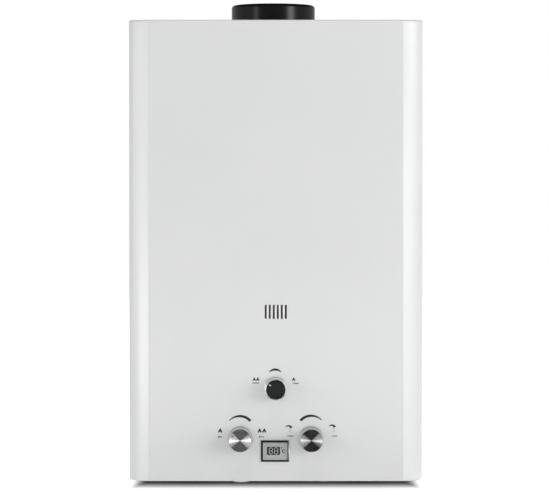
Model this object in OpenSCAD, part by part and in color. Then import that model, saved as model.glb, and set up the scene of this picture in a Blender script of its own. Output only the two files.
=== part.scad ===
// Wall-hung tankless gas water heater with a top flue collar, three front knobs and a small display.
// X runs to the right, the front faces -Y, Z is up, and the wall plane is Y = 0.
// The origin lies on the wall plane, midway between the two hanger holes.
// Heights below are measured from the casing's lower edge; lift() moves them into the shared frame.

/* [Casing] */
// Width of the casing
case_w = 345; // [320:1:420]
// Height of the casing
case_h = 540; // [520:1:640]
// Depth from the wall to the front panel
case_d = 165; // [160:1:220]
// Thickness of the casing sheet
sheet_t = 1; // [0.6:0.1:1.4]
// Width of each curved corner strip, seen from the front
corner_w = 24.2; // [14:0.1:30]
// Bend of the crease between front panel and corner strip, in degrees
crease_angle = 11; // [4:1:20]
// Width to depth of the ellipse that the corner strip follows
corner_ratio = 2.2; // [1:0.1:2.4]
// Rounding of the front panel's upper edge
edge_r = 2.5; // [1.6:0.1:5]
// Rounding of the front panel's lower edge
sill_r = 1.3; // [1.2:0.1:4]
// Width of the cover's lower lip
lip_w = 7; // [5:0.5:8]
// Height of the bottom plate above the casing's lower edge
bottom_h = 14; // [13:0.5:18]
// Depth of the back plate's flanges
flange_d = 14; // [11:0.5:18]
// Radius of the cover screws' shanks
cover_screw_r = 2; // [1.5:0.1:2.5]
// Distance of the cover screws from the casing's ends
cover_screw_end = 60; // [40:1:90]

/* [Wall fixing] */
// Distance of the hanger holes below the casing top
hanger_drop = 35; // [28:1:50]
// Spacing of the hanger holes
hanger_spacing = 250; // [236:1:270]
// Radius of the round hanger hole that passes a screw head
hanger_r = 6; // [5:0.1:7]
// Width of the hanger slot above the round hole
hanger_slot_w = 5.5; // [4:0.1:6.5]
// Rise of the hanger slot above the round hole's centre
hanger_slot_rise = 12; // [9:0.5:16]
// Spacing of the lower wall holes
foot_spacing = 200; // [160:1:240]
// Radius of the lower wall holes
foot_r = 3.25; // [2.5:0.05:4]
// Distance of the lower wall holes below the casing
foot_drop = 10; // [8:0.5:12]
// Width of each lower ear
ear_w = 30; // [20:1:40]
// Length of each lower ear below the casing
ear_l = 19; // [16:0.5:24]

/* [Flue] */
// Outer radius of the flue collar
flue_r = 50; // [45:0.5:55]
// Wall of the flue collar
flue_t = 1.2; // [0.8:0.1:2]
// Rise of the collar above the casing
flue_up = 23; // [15:1:60]
// Sideways place of the collar
flue_x = -3; // [-10:1:10]
// Distance of the collar's axis from the wall
flue_d = 72; // [68:1:85]
// Radius of the collar's rolled rim
flue_rim = 3; // [2.2:0.1:4]
// Gap between collar and casing
flue_gap = 3; // [2:0.5:4]
// Width of the collar's base flange
flue_flange = 5; // [3:0.5:5.5]

/* [Knobs] */
// Height of the upper knob
season_h = 109; // [105:1:112]
// Radius of the upper knob's cap
season_r = 11; // [9:0.1:13]
// Length of the upper knob in front of the panel
season_up = 22; // [12:0.5:26]
// Sideways place of the two lower knobs
side_x = 41.5; // [38:0.5:48]
// Height of the two lower knobs
side_h = 50; // [48:0.1:56]
// Radius of a lower knob's face
knob_r = 13.3; // [11:0.1:15]
// Radius of a knob's skirt at the panel
skirt_r = 14.25; // [12:0.05:16]
// Thickness of a knob's skirt
skirt_t = 2.4; // [1.5:0.1:4]
// Length of the lower knobs in front of the panel
knob_up = 24; // [15:0.5:28]
// Wall of the knob caps
knob_t = 1.6; // [1:0.1:2.5]
// Radius of the spindles
spindle_r = 4; // [3:0.1:4.5]
// Radius of the knob holes in the panel
panel_hole_r = 9.5; // [8:0.1:10.5]
// Radius of the pointer dimple
dimple_r = 1; // [0.6:0.1:1.5]
// Turn of the gas knob's pointer from the top, in degrees
gas_pointer = 61; // [-90:1:90]
// Turn of the water knob's pointer from the top, in degrees
water_pointer = -20; // [-90:1:90]
// Turn of the upper knob's pointer from the top, in degrees
season_pointer = 52; // [-90:1:90]

/* [Flame window] */
// Number of flame slots
slot_count = 6; // [3:1:8]
// Pitch of the flame slots
slot_pitch = 4.7; // [4:0.1:6]
// Width of a flame slot
slot_w = 2.4; // [1.5:0.1:3]
// Height of a flame slot
slot_l = 16.7; // [10:0.1:20]
// Height of the middle of the flame slots
slot_h = 198.5; // [196:0.5:206]

/* [Display] */
// Width of the display bezel
bezel_w = 32.5; // [30:0.1:40]
// Height of the display bezel
bezel_l = 25; // [22:0.1:30]
// Rise of the bezel in front of the panel
bezel_up = 1.6; // [1:0.1:3]
// Width of the visible glass
glass_w = 28; // [20:0.1:29]
// Height of the visible glass
glass_l = 20; // [14:0.1:21]
// Height of the display's middle
display_h = 35.3; // [32:0.1:36]

/* [Water and gas ways] */
// Outer radius of the threaded connections
stub_r = 10.48; // [8:0.01:13.2]
// Bore radius of the connections
stub_bore = 7; // [5:0.1:7.4]
// Reach of the gas connection below the casing
gas_down = 14.5; // [10:0.1:30]
// Reach of the cold connection below the casing
cold_down = 13.3; // [10:0.1:30]
// Reach of the hot connection below the casing
hot_down = 12.5; // [10:0.1:30]
// Distance of the connections from the wall
stub_d = 55; // [50:1:62]
// Sideways place of the gas connection
gas_x = -42; // [-46:1:-38]
// Sideways place of the cold water connection
cold_x = 59; // [52:1:64]
// Distance of the hot pipe from the heat chamber
hot_gap = 24; // [22:0.5:30]
// Distance of the valve line from the wall
valve_d = 88; // [84:1:92]
// Outer radius of the water tubes
tube_r = 6; // [5:0.1:6.5]
// Wall of the water tubes
tube_t = 0.8; // [0.5:0.1:1.2]
// Bend radius of the water tubes
tube_bend = 8; // [7.5:0.1:9]
// Stroke of the push rod that opens the gas valve
rod_stroke = 4.5; // [3:0.1:5]
// Radius of the push rod
rod_r = 3; // [2:0.1:3.5]
// Radius of the diaphragm and its flanges
diaphragm_r = 27; // [24:0.5:30]
// Thickness of the diaphragm
diaphragm_t = 1.5; // [1:0.1:2.5]
// Stroke of the solenoid's plunger
plunger_stroke = 3; // [2:0.1:4]

/* [Heat exchanger] */
// Space between casing side and heat chamber
side_gap = 67.5; // [62:0.5:75]
// Space between front panel and heat chamber
front_gap = 25; // [24:0.5:30]
// Space between wall and heat chamber
rear_gap = 30; // [26:0.5:36]
// Space between casing top and hood
top_gap = 12; // [9:0.5:16]
// Height of the flame slots above the chamber's floor
window_up = 16.5; // [14.5:0.5:20]
// Height of the draft hood
hood_l = 88; // [70:1:100]
// Sheet of the chamber and hood
chamber_t = 1.2; // [0.8:0.1:1.6]
// Number of fins
fin_count = 24; // [10:1:30]
// Height of a fin
fin_l = 48; // [36:1:52]
// Thickness of a fin
fin_t = 0.5; // [0.3:0.1:0.8]
// Number of tubes through the fins
tube_rows = 5; // [3:2:5]
// Pitch of the tubes through the fins
tube_pitch = 20; // [18.5:0.5:22]
// Turns of the jacket coil
coil_turns = 2; // [1:1:3]
// Rise of the jacket coil in one turn
coil_rise = 36; // [24:1:40]

/* [Burner] */
// Number of burner bars
bar_count = 10; // [6:1:11]
// Width of a burner bar
bar_w = 13; // [10:0.5:14]
// Height of a burner bar
bar_l = 36; // [30:1:40]
// Number of flame ports in a bar
port_count = 12; // [6:1:16]
// Side of the square manifold
manifold_w = 14; // [10:0.5:14]
// Length of a nozzle
nozzle_l = 4; // [3:0.5:5]

/* [Battery box] */
// Radius of a battery cell
cell_r = 16.5; // [13:0.1:17]
// Length of a battery cell
cell_l = 61; // [48:0.5:62]
// Wall of the battery box
box_t = 2; // [1.5:0.1:2.5]
// Thickness of the battery door
door_t = 2.2; // [1.8:0.1:2.6]
// Radius of the door's hinge pin
pin_r = 1.2; // [0.8:0.1:1.4]

/* [Clearances] */
// Running clearance of spindles, rods and pins
run_gap = 0.05; // [0.02:0.01:0.1]
// Clearance between neighbouring pieces
fit_gap = 0.3; // [0.2:0.05:0.5]
// Gap between panel and knob skirt
panel_gap = 0.6; // [0.4:0.1:1]

/* [Ignition] */
// Length of the electrodes' ceramics in front of the chamber
ceramic_out = 12; // [8:1:16]
// Length of the electrodes' ceramics inside the chamber
ceramic_in = 10; // [6:1:14]
// Drop of the electrodes' tips towards the bars
spark_drop = 8; // [5:1:10]
// Width of the igniter
igniter_w = 58; // [40:1:64]
// Depth of the igniter
igniter_d = 28; // [20:1:32]
// Height of the igniter
igniter_h = 40; // [30:1:50]
// Space between igniter and cover
igniter_gap = 17; // [15:1:20]

/* [Hidden] */
$fn = 48;
arc_steps = 8;
bend_steps = 3;
tube_sides = 10;
over = 1;
half_w = case_w / 2;
front_y = -case_d;
panel_in = front_y + sheet_t;
cover_rear = -(sheet_t + fit_gap);
back_half = half_w - sheet_t - fit_gap;
hanger_h = case_h - hanger_drop;
crease_turn = atan(corner_ratio * tan(crease_angle));
corner_a = corner_w / (1 - sin(crease_turn));
corner_b = corner_a / corner_ratio;
corner_d = corner_b * cos(crease_turn);
bottom_top = bottom_h + sheet_t;
screw_head_r = cover_screw_r * 1.75;
screw_head_l = cover_screw_r;
screw_l = sheet_t + fit_gap + sheet_t + cover_screw_r;
screw_y = -flange_d / 2 - sheet_t;

chamber_half = half_w - side_gap;
chamber_front = front_y + front_gap;
chamber_back = -rear_gap;
chamber_mid = (chamber_front + chamber_back) / 2;
hood_top = case_h - top_gap;
chamber_top = hood_top - hood_l;
hood_half = flue_r + flue_flange + 1;
flue_y = -flue_d;
tube_z = chamber_top - fin_l / 2 - tube_r;
tube_end = chamber_half + tube_bend + tube_r;
coil_x = chamber_half + tube_r + 2;
coil_front = chamber_front - tube_r - 2;
coil_back = chamber_back + tube_r + 2;
chamber_h = slot_h - window_up;
coil_up = 78;
coil_low = chamber_h + coil_up;
coil_tail = 20;
union_t = 2.2;
union_half = 7;
bracket_up = 30;
bracket_down = 60;
joint_drop = 14;
joint_z = tube_z - fin_l / 2 - joint_drop;
hot_x = -(chamber_half + hot_gap);

valve_y = -valve_d;
barrel_r = 17;
housing_r = 12;
season_taper = 0.4;
housing_l = 40;
housing_front = valve_y - housing_l;
leg_r = stub_r + 3;
leg_half = 12;
hex_r = stub_r + 5;
hex_l = 6;
thread_top = bottom_h - hex_l - 0.5;
spigot_r = stub_r - 1.5;
spigot_l = 9;
gas_left = min(gas_x, -side_x) - 20;
gas_right = max(gas_x, -side_x) + 20;
water_left = min(cold_x, side_x) - 29.5;
water_right = max(cold_x, side_x) + 12;
pad_l = 3;
flange_l = 6;
cover_l = 16;
cover_left = water_left - diaphragm_t - cover_l;
cavity_r = diaphragm_r - 7;
cavity_l = rod_stroke + 4;
rod_plate_l = 1.8;
rod_plate_x = water_left - diaphragm_t - 0.35 - rod_plate_l;
collar_x = cover_left - rod_r - 3.5;
collar_l = 2;
collar_r = rod_r + 3;
poppet_r = 9;
poppet_l = 3;
poppet_x = gas_right - 12;
gas_cavity_r = 12;
wall_l = 6;
stem_r = 2.5;
plug_stem_r = 6;
hot_bend_z = 90;
hot_run = 30;
thermostat_up = 60;

solenoid_r = 13;
solenoid_l = 30;
plunger_r = 5;
plunger_l = 18;

season_half = 14;
season_back = chamber_front + 26;
season_front = chamber_front - nozzle_l - manifold_w;
manifold_y = chamber_front - nozzle_l - manifold_w / 2;
manifold_z = chamber_h - bar_l + 6;
manifold_half = chamber_half - 7;
neck_r = 5.5;
riser_r = 7;
riser_bend = 12;
riser_y = season_back - season_half;
spindle_in = 24;
season_spindle_r = spindle_r - 0.5;
season_in = 20;

frame_low = chamber_h - bar_l - 14;
ledge_w = 8;
bar_low = chamber_h - bar_l;
mouth_l = 30;
bar_pitch = (2 * (chamber_half - chamber_t) - bar_w - 8) / (bar_count - 1);
bar_front = chamber_front + chamber_t + fit_gap;
bar_back = chamber_back - chamber_t - fit_gap;

window_w = slot_count * slot_pitch + 6;
window_l = slot_l + 4;
pane_t = 1;
electrode_x = window_w / 2 + 16;
electrode_h = chamber_h + 12;
ceramic_r = 3.2;
wire_r = 1;

cell_w = 4 * cell_r + 4;
cell_d = 2 * cell_r + 3;
cell_h = cell_l + 4;
box_space = 16;
box_x = half_w - sheet_t - box_t - cell_w / 2 - box_space;
box_shift = 1;
box_y = (panel_in + valve_y - tube_r) / 2 + box_shift;
box_rim = 4;
box_rim_t = 2;
door_top = bottom_h - box_rim_t - fit_gap;
door_mid = door_top - door_t / 2;
barrel_door_r = pin_r + 1.2;
hinge_y = box_y + cell_d / 2 + box_t + box_rim + barrel_door_r + 0.6;
door_half = cell_w / 2 + box_t;
ear_t = 3;

lever_l = 16;
lever_t = 0.8;
lever_w = 5;
switch_low = side_h + collar_r + 5;
switch_l = 11;
pivot_r = 0.8;
lever_x = collar_x - 0.7 - lever_t;
pivot_z = side_h + lever_l;

board_rim = 5;
board_w = bezel_w + 2 * board_rim;
board_l = bezel_l + board_rim;
board_t = 1.6;
module_t = 4;
bezel_deep = 6;
glass_t = 1;

// Points along a circular arc
function arc(centre, r, from, to, n = arc_steps) =
    [for (i = [0 : n]) let (a = from + (to - from) * i / n) centre + r * [cos(a), sin(a)]];

function flip(points) = [for (i = [len(points) - 1 : -1 : 0]) [-points[i].x, points[i].y]];

function unit(v) = v / norm(v);

// Turn of a path at its point i, and the straight length that the bend there takes up
function turn(path, i) = i == 0 || i == len(path) - 1 ? 0
    : acos(min(1, unit(path[i] - path[i - 1]) * unit(path[i + 1] - path[i])));
function bend_cut(path, i, bend) = bend * tan(turn(path, i) / 2);

module lift() {
    translate([0, 0, -hanger_h]) children();
}

module block(low, high) {
    translate(low) cube(high - low);
}

module rod_x(r, from, to) {
    translate([from, 0, 0]) rotate([0, 90, 0]) cylinder(r = r, h = to - from);
}

module rod_y(r, from, to) {
    translate([0, from, 0]) rotate([-90, 0, 0]) cylinder(r = r, h = to - from);
}

module rod_z(r, from, to) {
    translate([0, 0, from]) cylinder(r = r, h = to - from);
}

// Stations along a path with rounded bends: each holds a point and the direction there
function stations(path, bend) = concat(
    [[path[0], unit(path[1] - path[0])]],
    [for (i = [1 : len(path) - 2]) if (turn(path, i) > 0.5)
        let (
            u = unit(path[i] - path[i - 1]),
            v = unit(path[i + 1] - path[i]),
            inward = unit(v - (u * v) * u),
            centre = path[i] - u * bend_cut(path, i, bend) + inward * bend)
        for (k = [0 : bend_steps]) let (a = turn(path, i) * k / bend_steps)
            [centre + bend * (u * sin(a) - inward * cos(a)), u * cos(a) + inward * sin(a)]],
    [[path[len(path) - 1], unit(path[len(path) - 1] - path[len(path) - 2])]]);

// Side direction at each station, carried along so that the rings don't twist
function carried(rings, i, side) = i == len(rings) ? []
    : let (t = rings[i][1], s = unit(side - (side * t) * t)) concat([s], carried(rings, i + 1, s));

function ring_points(rings, sides, r) = [for (i = [0 : len(rings) - 1], k = [0 : tube_sides - 1])
    let (a = 360 * k / tube_sides, up = cross(rings[i][1], sides[i]))
        rings[i][0] + r * (sides[i] * cos(a) + up * sin(a))];

// Tube along a path, open at both ends, or a solid bar where the wall is the radius
module tube_along(path, r, wall, bend) {
    rings = stations(path, bend);
    first = rings[0][1];
    start = cross(first, abs(first.z) > 0.7 ? [1, 0, 0] : [0, 0, 1]);
    sides = carried(rings, 0, unit(start));
    n = tube_sides;
    count = len(rings) * n;
    last = count - n;
    hollow = wall < r;
    points = concat(ring_points(rings, sides, r), hollow ? ring_points(rings, sides, r - wall) : []);
    outer = [for (i = [0 : len(rings) - 2], k = [0 : n - 1])
        [i * n + k, (i + 1) * n + k, (i + 1) * n + (k + 1) % n, i * n + (k + 1) % n]];
    inner = [for (f = outer) [count + f[3], count + f[2], count + f[1], count + f[0]]];
    ends = [for (k = [0 : n - 1]) each [
        [k, (k + 1) % n, count + (k + 1) % n, count + k],
        [last + (k + 1) % n, last + k, count + last + k, count + last + (k + 1) % n]]];
    caps = [[for (k = [0 : n - 1]) k], [for (k = [n - 1 : -1 : 0]) last + k]];
    polyhedron(points, hollow ? concat(outer, inner, ends) : concat(outer, caps));
}

// Upright slot with round ends, cut through along Y
module slot_cut(w, l, from, to) {
    rise = l / 2 - w / 2;
    translate([0, to, 0]) rotate([90, 0, 0]) linear_extrude(to - from)
        polygon(concat(arc([0, rise], w / 2, 0, 180), arc([0, -rise], w / 2, 180, 360)));
}

// Point of the right corner strip's ellipse where its face leans so far to the side, moved in along its normal
function corner_point(lean, inset) =
    let (turn = atan2(corner_ratio * sin(lean), cos(lean)))
    [half_w - corner_a * (1 - sin(turn)), front_y + corner_d - corner_b * cos(turn)]
        - inset * [sin(lean), -cos(lean)];

// Plan of the cover, drawn in from the outside by an inset
module cover_plan(inset, rear) {
    step = (90 - crease_angle) / arc_steps;
    strip = [for (i = [0 : arc_steps - 1]) corner_point(90 - i * step, inset)];
    crease = [half_w - corner_w - inset * tan(crease_angle / 2), front_y + inset];
    right = concat([[half_w - inset, rear]], strip, [crease]);
    polygon(concat(right, flip(right)));
}

// Side view of the cover with its rounded front edges, extruded across the width
module cover_side(inset, rear) {
    top_r = edge_r - inset;
    low_r = sill_r - inset;
    face = front_y + inset;
    rotate([90, 0, 90]) translate([0, 0, -half_w - over]) linear_extrude(case_w + 2 * over)
        polygon(concat(
            [[rear, inset]], arc([face + low_r, inset + low_r], low_r, 270, 180, 4),
            arc([face + top_r, case_h - inset - top_r], top_r, 180, 90, 4), [[rear, case_h - inset]]));
}

module cover_body(inset, rear) {
    intersection() {
        linear_extrude(case_h) cover_plan(inset, rear);
        cover_side(inset, rear);
    }
}

// The four cover screw places: calls its child at each, with +X pointing out of the casing
module at_cover_screws() {
    for (side = [0, 1]) mirror([side, 0, 0])
        for (z = [cover_screw_end, case_h - cover_screw_end])
            translate([half_w, screw_y, z]) children();
}

module front_cover() {
    color("whitesmoke") lift() difference() {
        cover_body(0, cover_rear);
        cover_body(sheet_t, over);
        translate([0, 0, -over]) linear_extrude(sheet_t + 2 * over) cover_plan(lip_w, over);
        translate([flue_x, flue_y, 0]) {
            rod_z(flue_r + flue_gap, case_h - edge_r - over, case_h + over);
            block([-flue_r - flue_gap, 0, case_h - edge_r - over],
                [flue_r + flue_gap, flue_d + over, case_h + over]);
        }
        translate([0, 0, season_h]) rod_y(panel_hole_r, front_y - over, panel_in + over);
        for (x = [-side_x, side_x])
            translate([x, 0, side_h]) rod_y(panel_hole_r, front_y - over, panel_in + over);
        for (i = [0 : slot_count - 1])
            translate([(i - (slot_count - 1) / 2) * slot_pitch, 0, slot_h])
                slot_cut(slot_w, slot_l, front_y - over, panel_in + over);
        block(
            [-glass_w / 2 - fit_gap - 1, front_y - over, display_h - glass_l / 2 - fit_gap - 1],
            [glass_w / 2 + fit_gap + 1, panel_in + over, display_h + glass_l / 2 + fit_gap + 1]);
        at_cover_screws() rod_x(cover_screw_r + run_gap, -over - sheet_t, over);
    }
}

// Pressed stiffening bead across the back plate
module bead(z, half_l, inset) {
    w = 18;
    raise = 4;
    translate([-half_l, 0, z]) rotate([90, 0, 90]) linear_extrude(2 * half_l)
        polygon([[over, -w / 2 + inset], [-sheet_t, -w / 2 + inset], [-sheet_t - raise, -w / 4 + inset / 2],
            [-sheet_t - raise, w / 4 - inset / 2], [-sheet_t, w / 2 - inset], [over, w / 2 - inset]]);
}

module back_plate() {
    bead_heights = [case_h * 0.22, case_h * 0.86];
    bead_half = chamber_half * 0.6;
    plate_top = case_h - sheet_t - fit_gap;
    tongue_half = flue_r + flue_gap + 8;
    color("lightgray") lift() difference() {
        union() {
            block([-back_half, -sheet_t, sheet_t], [back_half, 0, plate_top]);
            for (side = [0, 1]) mirror([side, 0, 0])
                block([back_half - sheet_t, -flange_d, bottom_top + over], [back_half, 0, plate_top]);
            block([-back_half, -flange_d, plate_top - sheet_t], [back_half, 0, plate_top]);
            translate([flue_x, 0, 0])
                block([-tongue_half, flue_y, plate_top - sheet_t], [tongue_half, 0, plate_top]);
            for (x = [-foot_spacing / 2, foot_spacing / 2])
                block([x - ear_w / 2, -sheet_t, -ear_l], [x + ear_w / 2, 0, 2 * sheet_t]);
            for (z = bead_heights) intersection() {
                bead(z, bead_half, 0);
                block([-half_w, -flange_d, 0], [half_w, 0, case_h]);
            }
        }
        for (z = bead_heights) translate([0, sheet_t, 0]) bead(z, bead_half - sheet_t, sheet_t);
        for (x = [-hanger_spacing / 2, hanger_spacing / 2]) translate([x, 0, hanger_h]) {
            rod_y(hanger_r, -sheet_t - over, over);
            block([-hanger_slot_w / 2, -sheet_t - over, 0], [hanger_slot_w / 2, over, hanger_slot_rise]);
            translate([0, 0, hanger_slot_rise]) rod_y(hanger_slot_w / 2 - 0.01, -sheet_t - over, over);
        }
        for (x = [-foot_spacing / 2, foot_spacing / 2])
            translate([x, 0, -foot_drop]) rod_y(foot_r, -sheet_t - over, over);
        translate([flue_x, flue_y, 0]) rod_z(flue_r + flue_gap, plate_top - 2 * sheet_t, case_h);
        at_cover_screws() rod_x(cover_screw_r + run_gap, -flange_d, over);
    }
}

// Places of the three connections in the bottom plate
module at_stubs() {
    for (x = [gas_x, cold_x, hot_x]) translate([x, -stub_d, 0]) children();
}

module bottom_plate() {
    air_count = 9;
    air_pitch = 15;
    air_w = 4;
    air_l = 34;
    flange_h = 10;
    color("gainsboro") lift() difference() {
        union() {
            translate([0, 0, bottom_h]) linear_extrude(sheet_t)
                cover_plan(sheet_t + fit_gap, -sheet_t);
            block([-back_half + 4 * sheet_t, -2 * sheet_t, bottom_h],
                [back_half - 4 * sheet_t, -sheet_t, bottom_top + flange_h]);
        }
        at_stubs() rod_z(stub_r + fit_gap, bottom_h - over, bottom_top + over);
        translate([side_x, valve_y, 0]) rod_z(plug_stem_r + fit_gap, bottom_h - over, bottom_top + over);
        block([box_x - cell_w / 2 - box_t - fit_gap, box_y - cell_d / 2 - box_t - fit_gap, bottom_h - over],
            [box_x + cell_w / 2 + box_t + fit_gap, box_y + cell_d / 2 + box_t + fit_gap, bottom_top + over]);
        for (i = [0 : air_count - 1])
            translate([(i - (air_count + 1) / 2) * air_pitch, panel_in + air_l, bottom_h + sheet_t / 2])
                rotate([90, 0, 0]) slot_cut(air_w, air_l, -over - sheet_t, over + sheet_t);
    }
}

// Pan-head screws through the cover's sides into the back plate's flanges
module cover_screws() {
    color("silver") lift() at_cover_screws() difference() {
        union() {
            rod_x(screw_head_r, 0, screw_head_l);
            rod_x(cover_screw_r, -screw_l, 0.1);
        }
        for (turned = [0, 90]) rotate([turned, 0, 0])
            block([screw_head_l - 1, -screw_head_r * 0.6, -0.4],
                [screw_head_l + over, screw_head_r * 0.6, 0.4]);
    }
}

// Flue spigot: base flange, straight wall and a rim rolled inward
module flue_collar() {
    top = case_h + flue_up;
    inner = flue_r - flue_t;
    rim = [flue_r - flue_rim, top - flue_rim];
    color("#1c1c1c") lift() translate([flue_x, flue_y, 0]) rotate_extrude($fn = 96)
        polygon(concat(
            [[inner, hood_top], [flue_r + flue_flange, hood_top], [flue_r + flue_flange, hood_top + flue_t],
                [flue_r, hood_top + flue_t]],
            arc(rim, flue_rim, 0, 90),
            arc(rim, flue_rim - flue_t, 90, 0)));
}

// Hood from the chamber's mouth to the collar, sloped on all four sides
module hood_body(inset, low, high) {
    intersection() {
        rotate([90, 0, 0]) linear_extrude(case_d)
            polygon([[-chamber_half + inset, low], [chamber_half - inset, low],
                [flue_x + hood_half - inset, high], [flue_x - hood_half + inset, high]]);
        rotate([90, 0, 90]) translate([0, 0, -half_w]) linear_extrude(case_w)
            polygon([[chamber_front + inset, low], [chamber_back - inset, low],
                [flue_y + hood_half - inset, high], [flue_y - hood_half + inset, high]]);
    }
}

module draft_hood() {
    color("silver") lift() difference() {
        hood_body(0, chamber_top, hood_top);
        hood_body(chamber_t, chamber_top - 0.01, hood_top - chamber_t);
        translate([flue_x, flue_y, 0]) rod_z(flue_r - flue_t, hood_top - chamber_t - over, hood_top + over);
    }
}

// Depth of tube i of the serpentine
function tube_y(i) = chamber_mid + (i - (tube_rows - 1) / 2) * tube_pitch;

module at_electrodes() {
    for (x = [-electrode_x, electrode_x]) translate([x, 0, electrode_h]) children();
}

module heat_chamber() {
    color("#b87348") lift() difference() {
        block([-chamber_half, chamber_front, chamber_h], [chamber_half, chamber_back, chamber_top]);
        block([-chamber_half + chamber_t, chamber_front + chamber_t, chamber_h - over],
            [chamber_half - chamber_t, chamber_back - chamber_t, chamber_top + over]);
        block([-window_w / 2, chamber_front - over, slot_h - window_l / 2],
            [window_w / 2, chamber_front + chamber_t + over, slot_h + window_l / 2]);
        at_electrodes() rod_y(ceramic_r + run_gap, chamber_front - over, chamber_front + chamber_t + over);
        for (i = [0 : tube_rows - 1]) translate([0, tube_y(i), tube_z])
            rod_x(tube_r + run_gap, -chamber_half - over, chamber_half + over);
    }
}

// Stack of fins that the serpentine runs through
module fins() {
    pitch = 2 * (chamber_half - chamber_t - 4) / (fin_count - 1);
    wall = chamber_t + fit_gap;
    color("#c07a4c") lift() for (n = [0 : fin_count - 1])
        translate([(n - (fin_count - 1) / 2) * pitch - fin_t / 2, 0, tube_z]) difference() {
            block([0, chamber_front + wall, -fin_l / 2], [fin_t, chamber_back - wall, fin_l / 2]);
            for (i = [0 : tube_rows - 1]) translate([0, tube_y(i), 0])
                rod_x(tube_r + run_gap, -over, fin_t + over);
        }
}

// Serpentine: up at the right front, through the fins and down at the left rear
module finned_tube() {
    rows = [for (i = [0 : tube_rows - 1]) let (side = i % 2 == 0 ? 1 : -1) each [
        [side * (i == 0 ? coil_x : tube_end), tube_y(i), tube_z],
        [-side * (i == tube_rows - 1 ? -hot_x : tube_end), tube_y(i), tube_z]]];
    path = concat([[coil_x, tube_y(0), joint_z]], rows, [[hot_x, tube_y(tube_rows - 1), joint_z]]);
    color("#c68b5e") lift() tube_along(path, tube_r, tube_t, tube_bend);
}

// Tube wound round the chamber in rising turns, from the cold pipe to the serpentine
module jacket_coil() {
    side_rise = coil_rise / 4;
    corners = [[coil_x, coil_front], [-coil_x, coil_front], [-coil_x, coil_back], [coil_x, coil_back]];
    turns = [for (n = [0 : 4 * coil_turns - 1])
        let (c = corners[n % 4]) [c.x, c.y, coil_low + (n + 1) * side_rise]];
    last = coil_low + (4 * coil_turns + 1) * side_rise;
    path = concat([[coil_x, valve_y, coil_low - coil_tail], [coil_x, valve_y, coil_low]], turns,
        [[coil_x, tube_y(0), last], [coil_x, tube_y(0), joint_z]]);
    color("#c68b5e") lift() tube_along(path, tube_r, tube_t, tube_bend);
}

// Z-shaped sheet brackets between chamber and back plate
module chamber_brackets() {
    wide = 24;
    foot = 16;
    t = 1.5;
    rear = -sheet_t;
    color("silver") lift() for (x = [-0.6, 0.6], z = [chamber_h + bracket_up, chamber_top - bracket_down])
        translate([x * chamber_half - wide / 2, 0, z]) rotate([90, 0, 90]) linear_extrude(wide)
            polygon([[rear, 0], [rear, foot], [rear - t, foot], [rear - t, t], [chamber_back, t],
                [chamber_back, -foot], [chamber_back + t, -foot], [chamber_back + t, 0]]);
}

// Hexagon unions over the joints of the water tubes
module pipe_unions() {
    union_r = tube_r + union_t;
    color("#c9a24b") lift()
        for (p = [[coil_x, valve_y, coil_low - coil_tail], [coil_x, tube_y(0), joint_z],
            [hot_x, tube_y(tube_rows - 1), joint_z]])
            translate(p) difference() {
                translate([0, 0, -union_half]) rotate([0, 0, 30])
                    cylinder(r = union_r, h = 2 * union_half, $fn = 6);
                rod_z(tube_r + run_gap, -union_half - over, union_half + over);
            }
}

// Round cut-out beside the collar, on the hood's flat top
module draft_sensor() {
    r = 6;
    corner = hood_half - r - 1;
    color("dimgray") lift() translate([flue_x + corner, flue_y - corner, hood_top]) {
        rod_z(r, 0, 3);
        rod_z(r * 0.7, 3, top_gap - sheet_t - 3);
    }
}

module window_pane() {
    color("lightyellow") lift()
        block([-window_w / 2 - 3, chamber_front - pane_t, slot_h - window_l / 2 - 3],
            [window_w / 2 + 3, chamber_front, slot_h + window_l / 2 + 3]);
}

// Sheet frame that clamps the pane to the chamber
module window_frame() {
    rim = 3;
    grip = chamber_front - pane_t;
    color("silver") lift() difference() {
        block([-window_w / 2 - 3 - rim, grip - 1, slot_h - window_l / 2 - 3 - rim],
            [window_w / 2 + 3 + rim, chamber_front, slot_h + window_l / 2 + 3 + rim]);
        block([-window_w / 2 - 3 - fit_gap, grip, slot_h - window_l / 2 - 3 - fit_gap],
            [window_w / 2 + 3 + fit_gap, chamber_front + over, slot_h + window_l / 2 + 3 + fit_gap]);
        block([-window_w / 2, grip - 1 - over, slot_h - window_l / 2],
            [window_w / 2, chamber_front, slot_h + window_l / 2]);
    }
}

// Open sheet frame under the chamber, with ledges for the bars and openings for the nozzles
module burner_frame() {
    color("gray") lift() {
        difference() {
            block([-chamber_half, chamber_front, frame_low], [chamber_half, chamber_back, chamber_h]);
            block([-chamber_half + chamber_t, chamber_front + chamber_t, frame_low - over],
                [chamber_half - chamber_t, chamber_back - chamber_t, chamber_h + over]);
            for (i = [0 : bar_count - 1])
                translate([(i - (bar_count - 1) / 2) * bar_pitch, 0, manifold_z])
                    rod_y(bar_w * 0.32, chamber_front - over, chamber_front + chamber_t + over);
        }
        for (y = [chamber_front + chamber_t, chamber_back - chamber_t - ledge_w])
            block([-chamber_half + chamber_t, y, bar_low - chamber_t],
                [chamber_half - chamber_t, y + ledge_w, bar_low]);
    }
}

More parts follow.
